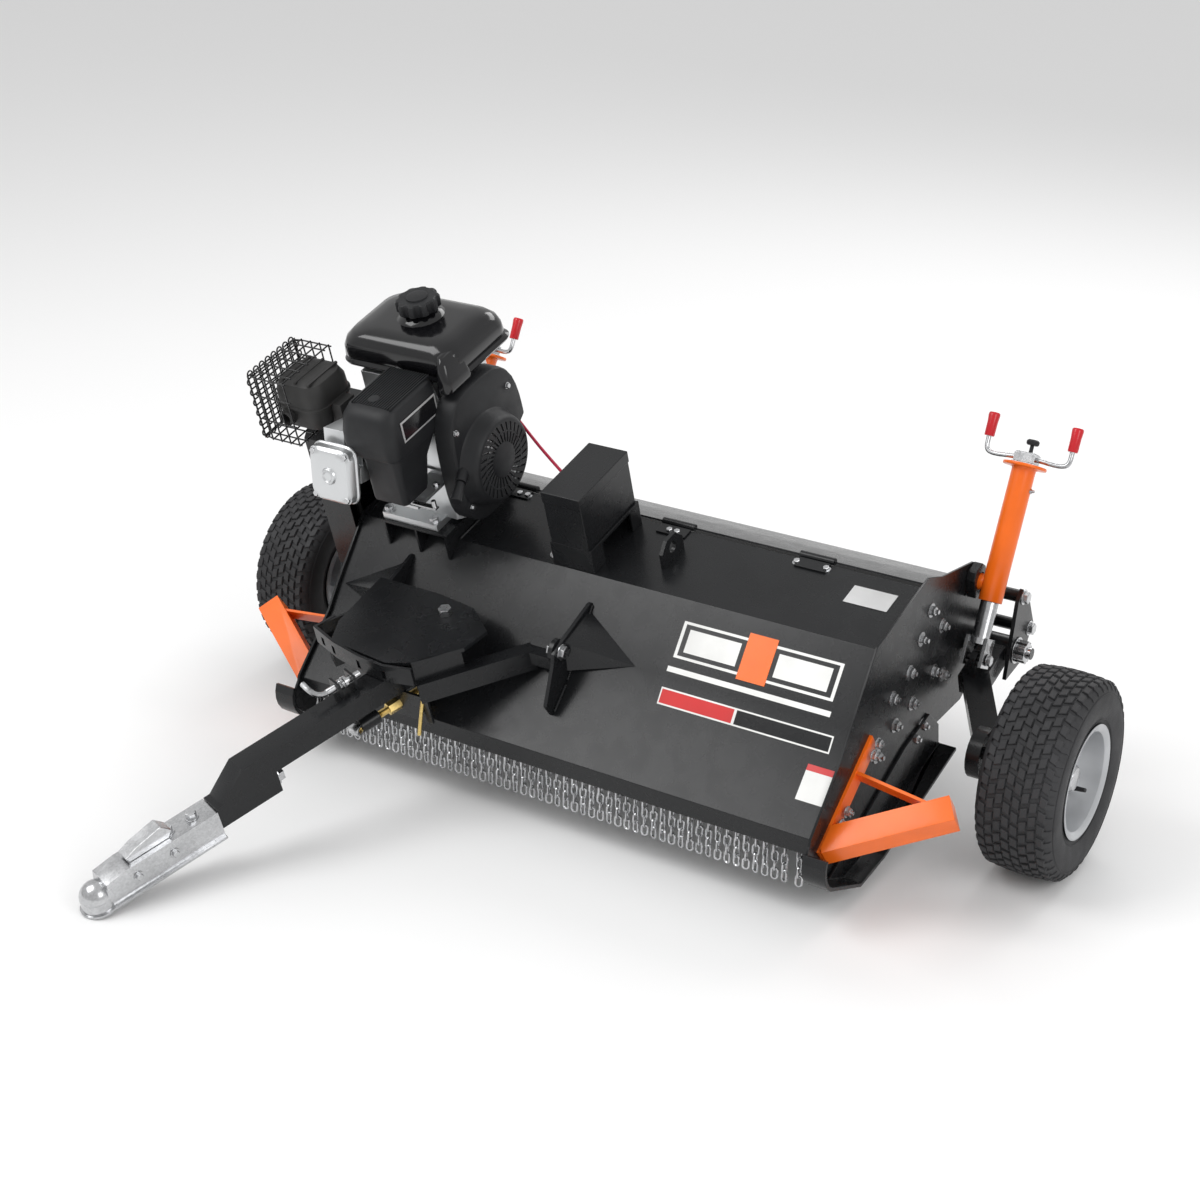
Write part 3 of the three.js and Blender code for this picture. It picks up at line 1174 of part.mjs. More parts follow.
/** Housing, rotor and belt drive. */
function housingPieces() {
  return [
    piece('deck_shell', deckShell(), BLACK),
    piece('side_plate_R', sidePlate(1), BLACK),
    piece('side_plate_L', sidePlate(-1), BLACK),
    piece('skid_R', skid(1), BLACK),
    piece('skid_L', skid(-1), BLACK),
    piece('lifting_lug', liftingLug(), BLACK),
    piece('rear_hood', rearHood(), BLACK),
    piece('bearing_R', bearing(1), 0x55585c),
    piece('bearing_L', bearing(-1), 0x55585c),
    piece('rotor', rotor(), 0x2c2e31),
    piece('engine_pulley', enginePulley(), 0x707478),
    piece('rotor_pulley', pulley(ROTOR, ROTOR_PULLEY_R, ROTOR_SHAFT_R), 0x707478),
    piece('drive_belt', driveBelt(), 0x141414, 0, 0.9),
    piece('belt_cover', beltCover(), BLACK),
    piece('chain_curtain', chainCurtain(), ZINC, 0.9, 0.35),
  ];
}

/** Engine and what is bolted to it. */
function enginePieces() {
  return [
    piece('engine_platform', enginePlatform(), BLACK),
    piece('engine_block', engineBlock(), 0x8b8e91, 0.8, 0.5),
    piece('valve_cover', valveCover(), 0xc9cbcd, 0.9, 0.35),
    piece('blower_housing', blowerHousing(), 0x1a1b1d, 0.1, 0.5),
    piece('recoil_handle', recoilHandle(), 0x151515, 0, 0.6),
    piece('fuel_tank', fuelTank(), 0x101113, 0.4, 0.2),
    piece('fuel_cap', fuelCap(), 0x16171a, 0, 0.5),
    piece('air_cleaner', airCleaner(), 0x34363a, 0, 0.7),
    piece('throttle_lever', throttleLever(), ZINC, 0.9, 0.4),
    piece('muffler', muffler(), 0x2a2b2d, 0.5, 0.7),
    piece('muffler_cage', mufflerCage(), 0x101010, 0.4, 0.5),
    piece('battery_tray', batteryTray(), BLACK),
    piece('battery_box', batteryBox(), BLACK),
    piece('battery_cable', batteryCable(), 0xa81e3c, 0, 0.5),
  ];
}

/** Front brackets, swing frame, drawbar and coupler. */
function hitchPieces() {
  const swungCoupler = geometryOf(coupler()).rotateZ(-TOW_YAW).translate(PIVOT.x, PIVOT.y, 0);
  const swungLatch = geometryOf(couplerLatch()).rotateZ(-TOW_YAW).translate(PIVOT.x, PIVOT.y, 0);
  return [
    piece('hitch_bracket_L', hitchBracket(0), BLACK),
    piece('hitch_bracket_R', hitchBracket(1), BLACK),
    piece('hitch_frame', hitchFrame(), BLACK),
    piece('pivot_bolt', pivotBolt(), ZINC, 0.9, 0.35),
    piece('drawbar', drawbar(), BLACK),
    piece('lock_pin', lockPin(), ZINC, 0.9, 0.3),
    piece('coupler', swungCoupler, ZINC, 0.9, 0.35),
    piece('coupler_latch', swungLatch, ZINC, 0.9, 0.35),
    piece('level_screw', levelScrew(), 0xb8902e, 0.8, 0.4),
  ];
}

/** Guard, jack, arm and wheel of one side. */
function sidePieces(side) {
  const tag = side > 0 ? 'R' : 'L';
  const turn = side > 0 ? 0 : LEFT_CRANK_TURN;
  const place = (shape) => (side > 0 ? shape : mirrored(shape));
  return [
    piece(`guard_${tag}`, guard(side), ORANGE, 0.2, 0.4),
    piece(`outer_bracket_${tag}`, place(outerBracket()), BLACK),
    piece(`trunnion_block_${tag}`, place(trunnionBlock()), BLACK),
    piece(`wheel_arm_${tag}`, place(wheelArm()), BLACK),
    piece(`jack_tube_${tag}`, place(jackOuter()), ORANGE, 0.2, 0.4),
    piece(`jack_inner_${tag}`, place(jackInner()), ZINC, 0.8, 0.4),
    piece(`jack_crank_${tag}`, place(jackCrank(turn)), ZINC, 0.9, 0.3),
    piece(`grip_inner_${tag}`, place(crankGrip(turn, -1)), 0xc4122a, 0, 0.4),
    piece(`grip_outer_${tag}`, place(crankGrip(turn, 1)), 0xc4122a, 0, 0.4),
    piece(`rim_${tag}`, place(rim()), 0xb9bcc0, 0.7, 0.4),
    piece(`tyre_${tag}`, place(tyre()), 0x26272a, 0, 0.9),
  ];
}

/** The whole machine, tilted onto its coupler. */
function build() {
  const chassis = new THREE.Group();
  chassis.name = 'chassis';
  chassis.add(
    ...housingPieces(), ...enginePieces(), ...hitchPieces(), ...sidePieces(1),
    ...sidePieces(-1),
  );
  chassis.rotation.x = REST_TILT;
  chassis.position.z = TYRE_R;
  const bounds = new THREE.Box3().setFromObject(chassis, true);
  chassis.position.y = -(bounds.min.y + bounds.max.y) / 2;
  const mower = new THREE.Group();
  mower.name = 'brush_mower';
  mower.add(chassis);
  return mower;
}

export default build();
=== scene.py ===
import json
import logging
import math
from dataclasses import dataclass, field
from enum import Enum

import bmesh
import bpy
from mathutils import Matrix, Vector


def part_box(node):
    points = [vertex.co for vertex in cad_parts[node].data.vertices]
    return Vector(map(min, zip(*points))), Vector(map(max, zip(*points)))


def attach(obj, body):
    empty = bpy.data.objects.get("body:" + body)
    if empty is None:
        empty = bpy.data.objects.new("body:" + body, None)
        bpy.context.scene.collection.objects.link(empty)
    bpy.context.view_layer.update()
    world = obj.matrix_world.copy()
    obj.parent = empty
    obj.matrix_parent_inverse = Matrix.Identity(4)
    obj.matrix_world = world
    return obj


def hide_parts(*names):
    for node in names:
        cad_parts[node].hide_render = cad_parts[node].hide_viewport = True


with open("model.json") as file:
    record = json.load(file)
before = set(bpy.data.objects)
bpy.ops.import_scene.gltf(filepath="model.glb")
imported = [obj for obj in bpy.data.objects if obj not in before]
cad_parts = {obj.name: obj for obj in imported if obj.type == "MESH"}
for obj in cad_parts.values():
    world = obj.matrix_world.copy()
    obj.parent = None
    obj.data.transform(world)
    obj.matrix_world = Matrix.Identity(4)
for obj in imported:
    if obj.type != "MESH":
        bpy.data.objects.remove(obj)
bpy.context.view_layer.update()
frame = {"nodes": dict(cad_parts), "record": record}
LOG = logging.getLogger("brush_mower")

MM = 0.001
REST_TILT = math.radians(16.14)
TOW_YAW = math.radians(18.0)
TOW_PIVOT = (-262, -316)
UP = Vector((0, 0, 1))
RIGHT = Vector((1, 0, 0))
Point = tuple[float, float, float]


# ---- placing ------------------------------------------------------------------------------


def axle_centre() -> Vector:
    """Middle of the wheel axle line, in metres."""
    low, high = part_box("tyre_R")
    return Vector((0.0, (low.y + high.y) / 2, (low.z + high.z) / 2))


def chassis_matrix() -> Matrix:
    """Carries chassis millimetres (origin on the axle line, level with the deck) into the frame."""
    return Matrix.Translation(axle_centre()) @ Matrix.Rotation(REST_TILT, 4, "X") @ Matrix.Scale(MM, 4)


def body_name(node: str) -> str:
    """Name of the moving body that a CAD node belongs to.

    Args:
        node: name of a CAD node.

    Returns:
        The body's name in the record.
    """
    bodies = frame["record"]["behaviour"]["bodies"]
    return next(name for name, nodes in bodies.items() if node in nodes)


def along_towbar(across: float, along: float, up: float) -> Point:
    """Chassis point from drawbar directions: across, forwards from the pivot, and height."""
    x = TOW_PIVOT[0] + across * math.cos(TOW_YAW) - along * math.sin(TOW_YAW)
    y = TOW_PIVOT[1] - across * math.sin(TOW_YAW) - along * math.cos(TOW_YAW)
    return (x, y, up)


def tow_direction() -> Vector:
    """Unit vector forwards along the drawbar."""
    return Vector(along_towbar(0, 1, 0)) - Vector(along_towbar(0, 0, 0))


# ---- finishes -----------------------------------------------------------------------------


class Texture(Enum):
    """What breaks up a surface: its bump and its change of colour."""

    POWDER_COAT = "powder coat"
    PLATING = "plating"
    CASTING = "casting"
    MOULDED = "moulded"
    RUBBER = "rubber"
    SATIN_METAL = "satin metal"


@dataclass(frozen=True)
class Finish:
    """One surface finish.

    Attributes:
        name: material name.
        slot: the record's material slot.
        colour: base colour, linear.
        metallic: metal share.
        roughness: middle roughness.
        texture: kind of fine structure.
        bump: strength of the fine structure.
        coat: clear coat weight.
        sheen: how strongly the surface mirrors its surroundings.
    """

    name: str
    slot: str
    colour: tuple[float, float, float]
    metallic: float
    roughness: float
    texture: Texture
    bump: float = 0.1
    coat: float = 0.0
    sheen: float = 0.5

    def scale(self) -> float:
        """Size of the fine structure, in repeats per metre."""
        sizes = {
            Texture.POWDER_COAT: 900.0,
            Texture.PLATING: 260.0,
            Texture.CASTING: 1100.0,
            Texture.MOULDED: 1800.0,
            Texture.RUBBER: 1500.0,
            Texture.SATIN_METAL: 600.0,
        }
        return sizes[self.texture]

    def wander(self) -> float:
        """How far the roughness strays from its middle value: little on paint, more elsewhere."""
        return 0.025 if self.texture is Texture.POWDER_COAT else 0.07

    def material(self) -> bpy.types.Material:
        """Builds the node material once and returns it afterwards.

        Returns:
            The material.
        """
        found = bpy.data.materials.get(self.name)
        if found is not None:
            return found
        made = bpy.data.materials.new(self.name)
        made.use_nodes = True
        tree = made.node_tree
        shader = tree.nodes["Principled BSDF"]
        shader.inputs["Metallic"].default_value = self.metallic
        shader.inputs["Coat Weight"].default_value = self.coat
        shader.inputs["Coat Roughness"].default_value = 0.12
        shader.inputs["Specular IOR Level"].default_value = self.sheen
        where = tree.nodes.new("ShaderNodeTexCoord").outputs["Object"]
        self._colour(tree, where, shader)
        self._roughness(tree, where, shader)
        self._relief(tree, where, shader)
        return made

    def _colour(self, tree: bpy.types.NodeTree, where: bpy.types.NodeSocket, shader: bpy.types.Node) -> None:
        """Slow cloud of dust and handling over the base colour.

        Args:
            tree: node tree to add to.
            where: texture coordinates.
            shader: the surface shader.
        """
        cloud = tree.nodes.new("ShaderNodeTexNoise")
        cloud.inputs["Scale"].default_value = 7.0
        cloud.inputs["Detail"].default_value = 6.0
        tree.links.new(where, cloud.inputs["Vector"])
        ramp = tree.nodes.new("ShaderNodeValToRGB")
        spread = {Texture.PLATING: 0.22, Texture.CASTING: 0.2, Texture.RUBBER: 0.3}.get(self.texture, 0.14)
        dust = 0.002 if max(self.colour) < 0.2 else 0.0
        ramp.color_ramp.elements[0].position = 0.3
        ramp.color_ramp.elements[1].position = 0.72
        ramp.color_ramp.elements[0].color = (*(c * (1 - spread) for c in self.colour), 1)
        ramp.color_ramp.elements[1].color = (*(min(1.0, c * (1 + spread) + dust) for c in self.colour), 1)
        tree.links.new(cloud.outputs["Fac"], ramp.inputs["Fac"])
        if self.texture is not Texture.PLATING:
            tree.links.new(ramp.outputs["Color"], shader.inputs["Base Color"])
            return
        spangle = tree.nodes.new("ShaderNodeTexVoronoi")
        spangle.inputs["Scale"].default_value = self.scale()
        tree.links.new(where, spangle.inputs["Vector"])
        grey = tree.nodes.new("ShaderNodeRGBToBW")
        tree.links.new(spangle.outputs["Color"], grey.inputs["Color"])
        shade = tree.nodes.new("ShaderNodeMapRange")
        shade.inputs["To Min"].default_value = 0.82
        shade.inputs["To Max"].default_value = 1.06
        tree.links.new(grey.outputs["Val"], shade.inputs["Value"])
        mix = tree.nodes.new("ShaderNodeVectorMath")
        mix.operation = "SCALE"
        tree.links.new(ramp.outputs["Color"], mix.inputs[0])
        tree.links.new(shade.outputs["Result"], mix.inputs["Scale"])
        tree.links.new(mix.outputs["Vector"], shader.inputs["Base Color"])

    def _roughness(
        self, tree: bpy.types.NodeTree, where: bpy.types.NodeSocket, shader: bpy.types.Node,
    ) -> None:
        """Smudges: roughness that wanders round its middle value.

        Args:
            tree: node tree to add to.
            where: texture coordinates.
            shader: the surface shader.
        """
        smudge = tree.nodes.new("ShaderNodeTexNoise")
        smudge.inputs["Scale"].default_value = 26.0
        smudge.inputs["Detail"].default_value = 5.0
        tree.links.new(where, smudge.inputs["Vector"])
        spread = tree.nodes.new("ShaderNodeMapRange")
        spread.inputs["From Min"].default_value = 0.3
        spread.inputs["From Max"].default_value = 0.7
        spread.inputs["To Min"].default_value = max(0.04, self.roughness - self.wander())
        spread.inputs["To Max"].default_value = min(1.0, self.roughness + self.wander() * 1.2)
        tree.links.new(smudge.outputs["Fac"], spread.inputs["Value"])
        tree.links.new(spread.outputs["Result"], shader.inputs["Roughness"])

    def _relief(self, tree: bpy.types.NodeTree, where: bpy.types.NodeSocket, shader: bpy.types.Node) -> None:
        """Fine bump at the finish's own scale.

        Args:
            tree: node tree to add to.
            where: texture coordinates.
            shader: the surface shader.
        """
        grain = tree.nodes.new("ShaderNodeTexNoise")
        grain.inputs["Scale"].default_value = self.scale()
        grain.inputs["Detail"].default_value = 2.0
        tree.links.new(where, grain.inputs["Vector"])
        bump = tree.nodes.new("ShaderNodeBump")
        bump.inputs["Strength"].default_value = self.bump
        bump.inputs["Distance"].default_value = 0.0006
        tree.links.new(grain.outputs["Fac"], bump.inputs["Height"])
        tree.links.new(bump.outputs["Normal"], shader.inputs["Normal"])


BLACK_PAINT = Finish(
    "black_powder_coat", "black_paint", (0.0085, 0.009, 0.01), 0.0, 0.27, Texture.POWDER_COAT, 0.12, 0.06,
    0.3,
)
ORANGE_PAINT = Finish(
    "orange_powder_coat", "orange_paint", (0.9, 0.15, 0.008), 0.0, 0.3, Texture.POWDER_COAT, 0.1, 0.15,
    0.35,
)
BRIGHT_ZINC = Finish("bright_zinc_plate", "zinc", (0.56, 0.565, 0.575), 1.0, 0.24, Texture.PLATING, 0.08)
YELLOW_ZINC = Finish("yellow_zinc_plate", "yellow_zinc", (0.78, 0.58, 0.22), 1.0, 0.3, Texture.PLATING, 0.08)
CAST_ALLOY = Finish("cast_alloy", "cast_alloy", (0.46, 0.465, 0.47), 0.9, 0.4, Texture.CASTING, 0.35)
ENGINE_PLASTIC = Finish(
    "dark_engine_plastic", "engine_dark", (0.0125, 0.013, 0.0145), 0.0, 0.46, Texture.MOULDED, 0.25, 0.0,
    0.3,
)
TANK_BLACK = Finish(
    "gloss_black_enamel", "tank_black", (0.005, 0.005, 0.006), 0.0, 0.14, Texture.POWDER_COAT, 0.02, 0.35,
    0.35,
)
MUFFLER_BLACK = Finish(
    "heat_proof_black", "muffler_dark", (0.022, 0.0215, 0.021), 0.1, 0.55, Texture.CASTING, 0.4,
)
BARE_STEEL = Finish("machined_steel", "bare_steel", (0.42, 0.43, 0.44), 1.0, 0.36, Texture.SATIN_METAL, 0.12)
BELT_RUBBER = Finish("belt_rubber", "belt_rubber", (0.02, 0.02, 0.02), 0.0, 0.8, Texture.RUBBER, 0.3)
CABLE_RED = Finish("crimson_insulation", "cable_red", (0.4, 0.015, 0.05), 0.0, 0.4, Texture.MOULDED, 0.05)
GRIP_RED = Finish("red_grip", "grip_red", (0.55, 0.006, 0.014), 0.0, 0.28, Texture.MOULDED, 0.05, 0.2, 0.4)
RIM_GREY = Finish(
    "silver_grey_rim_paint", "rim_grey", (0.43, 0.44, 0.455), 0.45, 0.34, Texture.POWDER_COAT, 0.08, 0.2,
)
TYRE_RUBBER = Finish(
    "turf_tyre_rubber", "tyre_rubber", (0.021, 0.021, 0.023), 0.0, 0.68, Texture.RUBBER, 0.35,
)
LABEL_WHITE = Finish("blank_label_white", "rim_grey", (0.82, 0.82, 0.8), 0.0, 0.42, Texture.MOULDED, 0.02)
LABEL_RED = Finish("blank_label_red", "grip_red", (0.6, 0.02, 0.02), 0.0, 0.42, Texture.MOULDED, 0.02)
LABEL_SILVER = Finish("blank_plate_silver", "zinc", (0.62, 0.62, 0.62), 0.6, 0.4, Texture.SATIN_METAL, 0.03)


# ---- making meshes ------------------------------------------------------------------------


class Workpiece:
    """A mesh under construction, in chassis millimetres."""

    def __init__(self) -> None:
        """Starts empty."""
        self.mesh = bmesh.new()

    def ring_skin(self, rings: list[list[Vector]], cap: bool = True, closed: bool = False) -> None:
        """Skins equal-length closed rings in order.

        Args:
            rings: the rings, each a list of points.
            cap: closes the first and last ring.
            closed: joins the last ring to the first.
        """
        made = [[self.mesh.verts.new(p) for p in ring] for ring in rings]
        count = len(made[0])
        pairs = list(zip(made, made[1:])) + ([(made[-1], made[0])] if closed else [])
        for one, two in pairs:
            for i in range(count):
                j = (i + 1) % count
                self.mesh.faces.new((one[i], one[j], two[j], two[i]))
        if cap and not closed:
            self.mesh.faces.new(list(reversed(made[0])))
            self.mesh.faces.new(made[-1])

    def box(self, low: Point, high: Point) -> None:
        """Adds a box between two corners."""
        (x0, y0, z0), (x1, y1, z1) = low, high
        rings = [
            [Vector((x0, y0, z)), Vector((x1, y0, z)), Vector((x1, y1, z)), Vector((x0, y1, z))]
            for z in (z0, z1)
        ]
        self.ring_skin(rings)

    def rod(
        self, start: Point, end: Point, radius: float, end_radius: float | None = None, sides: int = 32,
    ) -> None:
        """Adds a round rod or cone.

        Args:
            start: centre of the first end.
            end: centre of the second end.
            radius: radius at the start.
            end_radius: radius at the end, if it differs.
            sides: number of sides.
        """
        a, b = Vector(start), Vector(end)
        u, v = across(b - a)
        last = radius if end_radius is None else end_radius
        self.ring_skin(
            [
                [p + (u * math.cos(t) + v * math.sin(t)) * r for t in turns(sides)]
                for p, r in ((a, radius), (b, last))
            ]
        )

    def turned(
        self, profile: list[tuple[float, float]], centre: Point, axis: Vector, sides: int = 64,
    ) -> None:
        """Adds a solid of revolution.

        Args:
            profile: closed (offset, radius) points round the section, or open ones whose ends are capped.
            centre: point on the axis at offset 0.
            axis: direction of the axis.
            sides: number of sides.
        """
        u, v = across(axis)
        n = axis.normalized()
        c = Vector(centre)
        rings = [
            [c + n * o + (u * math.cos(t) + v * math.sin(t)) * max(r, 0.01) for t in turns(sides)]
            for o, r in profile
        ]
        self.ring_skin(rings, closed=profile[0][1] > 0.5 and profile[-1][1] > 0.5)

    def wire(self, points: list[Point], radius: float, sides: int = 10, closed: bool = False) -> None:
        """Adds a round wire through points.

        Args:
            points: centre line.
            radius: wire radius.
            sides: number of sides.
            closed: joins the end to the start.
        """
        line = [Vector(p) for p in points]
        rings: list[list[Vector]] = []
        u: Vector | None = None
        for i, p in enumerate(line):
            before = line[i - 1] if i > 0 or closed else line[0]
            after = line[(i + 1) % len(line)] if i < len(line) - 1 or closed else line[-1]
            t = (after - before).normalized()
            u = across(t)[0] if u is None else (u - t * u.dot(t)).normalized()
            v = t.cross(u)
            rings.append([p + (u * math.cos(a) + v * math.sin(a)) * radius for a in turns(sides)])
        self.ring_skin(rings, closed=closed)

    def hexagon(self, base: Point, axis: Vector, width: float, height: float, washer: float = 0.0) -> None:
        """Adds a hexagon bolt head or nut, with its washer under it.

        Args:
            base: centre of the seat.
            axis: outward direction.
            width: size across the flats.
            height: height of the head.
            washer: radius of a washer, or 0 for none.
        """
        n, c = axis.normalized(), Vector(base)
        start = 0.0
        if washer:
            self.rod(tuple(c), tuple(c + n * 2), washer, sides=28)
            start = 2.0
        r = width / math.sqrt(3)
        u, v = across(n)
        shape = [(start, r), (start + height - 1.2, r), (start + height, r * 0.86)]
        self.ring_skin(
            [[c + n * o + (u * math.cos(t) + v * math.sin(t)) * q for t in turns(6)] for o, q in shape]
        )

    def loft(self, sections: list[tuple[float, float, float, float, float, float]], steps: int = 6) -> None:
        """Adds a body skinned over rounded rectangles.

        Args:
            sections: (x0, x1, y0, y1, corner radius, z) from the bottom up.
            steps: points per corner.
        """
        rings = []
        for x0, x1, y0, y1, r, z in sections:
            ring = []
            for cx, cy, a0 in (
                (x1 - r, y1 - r, 0.0), (x0 + r, y1 - r, 0.5), (x0 + r, y0 + r, 1.0), (x1 - r, y0 + r, 1.5),
            ):
                for k in range(steps + 1):
                    a = (a0 + 0.5 * k / steps) * math.pi
                    ring.append(Vector((cx + r * math.cos(a), cy + r * math.sin(a), z)))
            rings.append(ring)
        self.ring_skin(rings)

    def transform(self, matrix: Matrix) -> None:
        """Moves everything made so far."""
        bmesh.ops.transform(self.mesh, matrix=matrix, verts=self.mesh.verts)

    def merge(self, other: "Workpiece") -> None:
        """Takes over another workpiece's mesh."""
        spare = bpy.data.meshes.new("spare")
        other.mesh.to_mesh(spare)
        self.mesh.from_mesh(spare)
        bpy.data.meshes.remove(spare)
        other.mesh.free()

    def finish(
        self, name: str, body: str, finish: Finish, stands_for: list[str] | None = None, bevel: float = 0.0,
        angle: float = 34.0,
    ) -> bpy.types.Object:
        """Turns the mesh into a dressed piece that rides on a body.

        Args:
            name: the piece's name.
            body: body it moves with.
            finish: its surface.
            stands_for: CAD nodes that it takes the place of.
            bevel: edge rounding in millimetres.
            angle: edges sharper than this stay sharp.

        Returns:
            The piece.
        """
        bmesh.ops.transform(self.mesh, matrix=chassis_matrix(), verts=self.mesh.verts)
        bmesh.ops.recalc_face_normals(self.mesh, faces=self.mesh.faces)
        data = bpy.data.meshes.new(name)
        self.mesh.to_mesh(data)
        self.mesh.free()
        return dress(data, name, body, finish, stands_for or [], bevel, angle)


def turns(count: int) -> list[float]:
    """Angles of the corners of a regular polygon."""
    return [2 * math.pi * i / count for i in range(count)]


def across(direction: Vector) -> tuple[Vector, Vector]:
    """Two unit vectors square to a direction and to each other.

    Args:
        direction: any vector that isn't zero.

    Returns:
        The two vectors, right-handed with the direction.
    """
    n = direction.normalized()
    side = UP if abs(n.z) < 0.9 else Vector((0, 1, 0))
    u = n.cross(side).normalized()
    return u, n.cross(u)


def dress(
    data: bpy.types.Mesh, name: str, body: str, finish: Finish, stands_for: list[str], bevel: float,
    angle: float,
) -> bpy.types.Object:
    """Makes a piece from a mesh in frame metres.

    Args:
        data: the mesh.
        name: the piece's name.
        body: body it moves with.
        finish: its surface.
        stands_for: CAD nodes that it takes the place of.
        bevel: edge rounding in millimetres.
        angle: edges sharper than this stay sharp.

    Returns:
        The piece.
    """
    piece = bpy.data.objects.new(name, data)
    bpy.context.scene.collection.objects.link(piece)
    data.materials.clear()
    data.materials.append(finish.material())
    data.shade_smooth()
    data.set_sharp_from_angle(angle=math.radians(angle))
    if bevel:
        rounding = piece.modifiers.new("edges", "BEVEL")
        rounding.width = bevel * MM
        rounding.segments = 2
        rounding.limit_method = "ANGLE"
        rounding.angle_limit = math.radians(angle)
        rounding.harden_normals = True
    if stands_for:
        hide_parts(*stands_for)
    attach(piece, body)
    LOG.info("%s: %d faces on %s", name, len(data.polygons), body)
    return piece


def refine(node: str, finish: Finish, bevel: float, angle: float = 34.0) -> bpy.types.Object:
    """Rebuilds a CAD node with clean faces and rounded edges.

    Args:
        node: the CAD node.
        finish: its surface.
        bevel: edge rounding in millimetres.
        angle: edges sharper than this stay sharp.

    Returns:
        The piece that stands for the node.
    """
    work = bmesh.new()
    work.from_mesh(frame["nodes"][node].data)
    bmesh.ops.remove_doubles(work, verts=work.verts, dist=1e-6)
    bmesh.ops.dissolve_limit(work, angle_limit=math.radians(1.0), verts=work.verts, edges=work.edges)
    bmesh.ops.recalc_face_normals(work, faces=work.faces)
    data = bpy.data.meshes.new(f"{node}_skin")
    work.to_mesh(data)
    work.free()
    return dress(data, f"{node}_skin", body_name(node), finish, [node], bevel, angle)


# ---- housing ------------------------------------------------------------------------------


class Panel(Enum):
    """A slope of the deck's front, as (y, z) of its upper and its lower edge."""

    UPPER = ((-128, 320), (-250, 225))
    FOLD = ((-250, 225), (-300, 182))
    LOWER = ((-300, 182), (-432, 104))


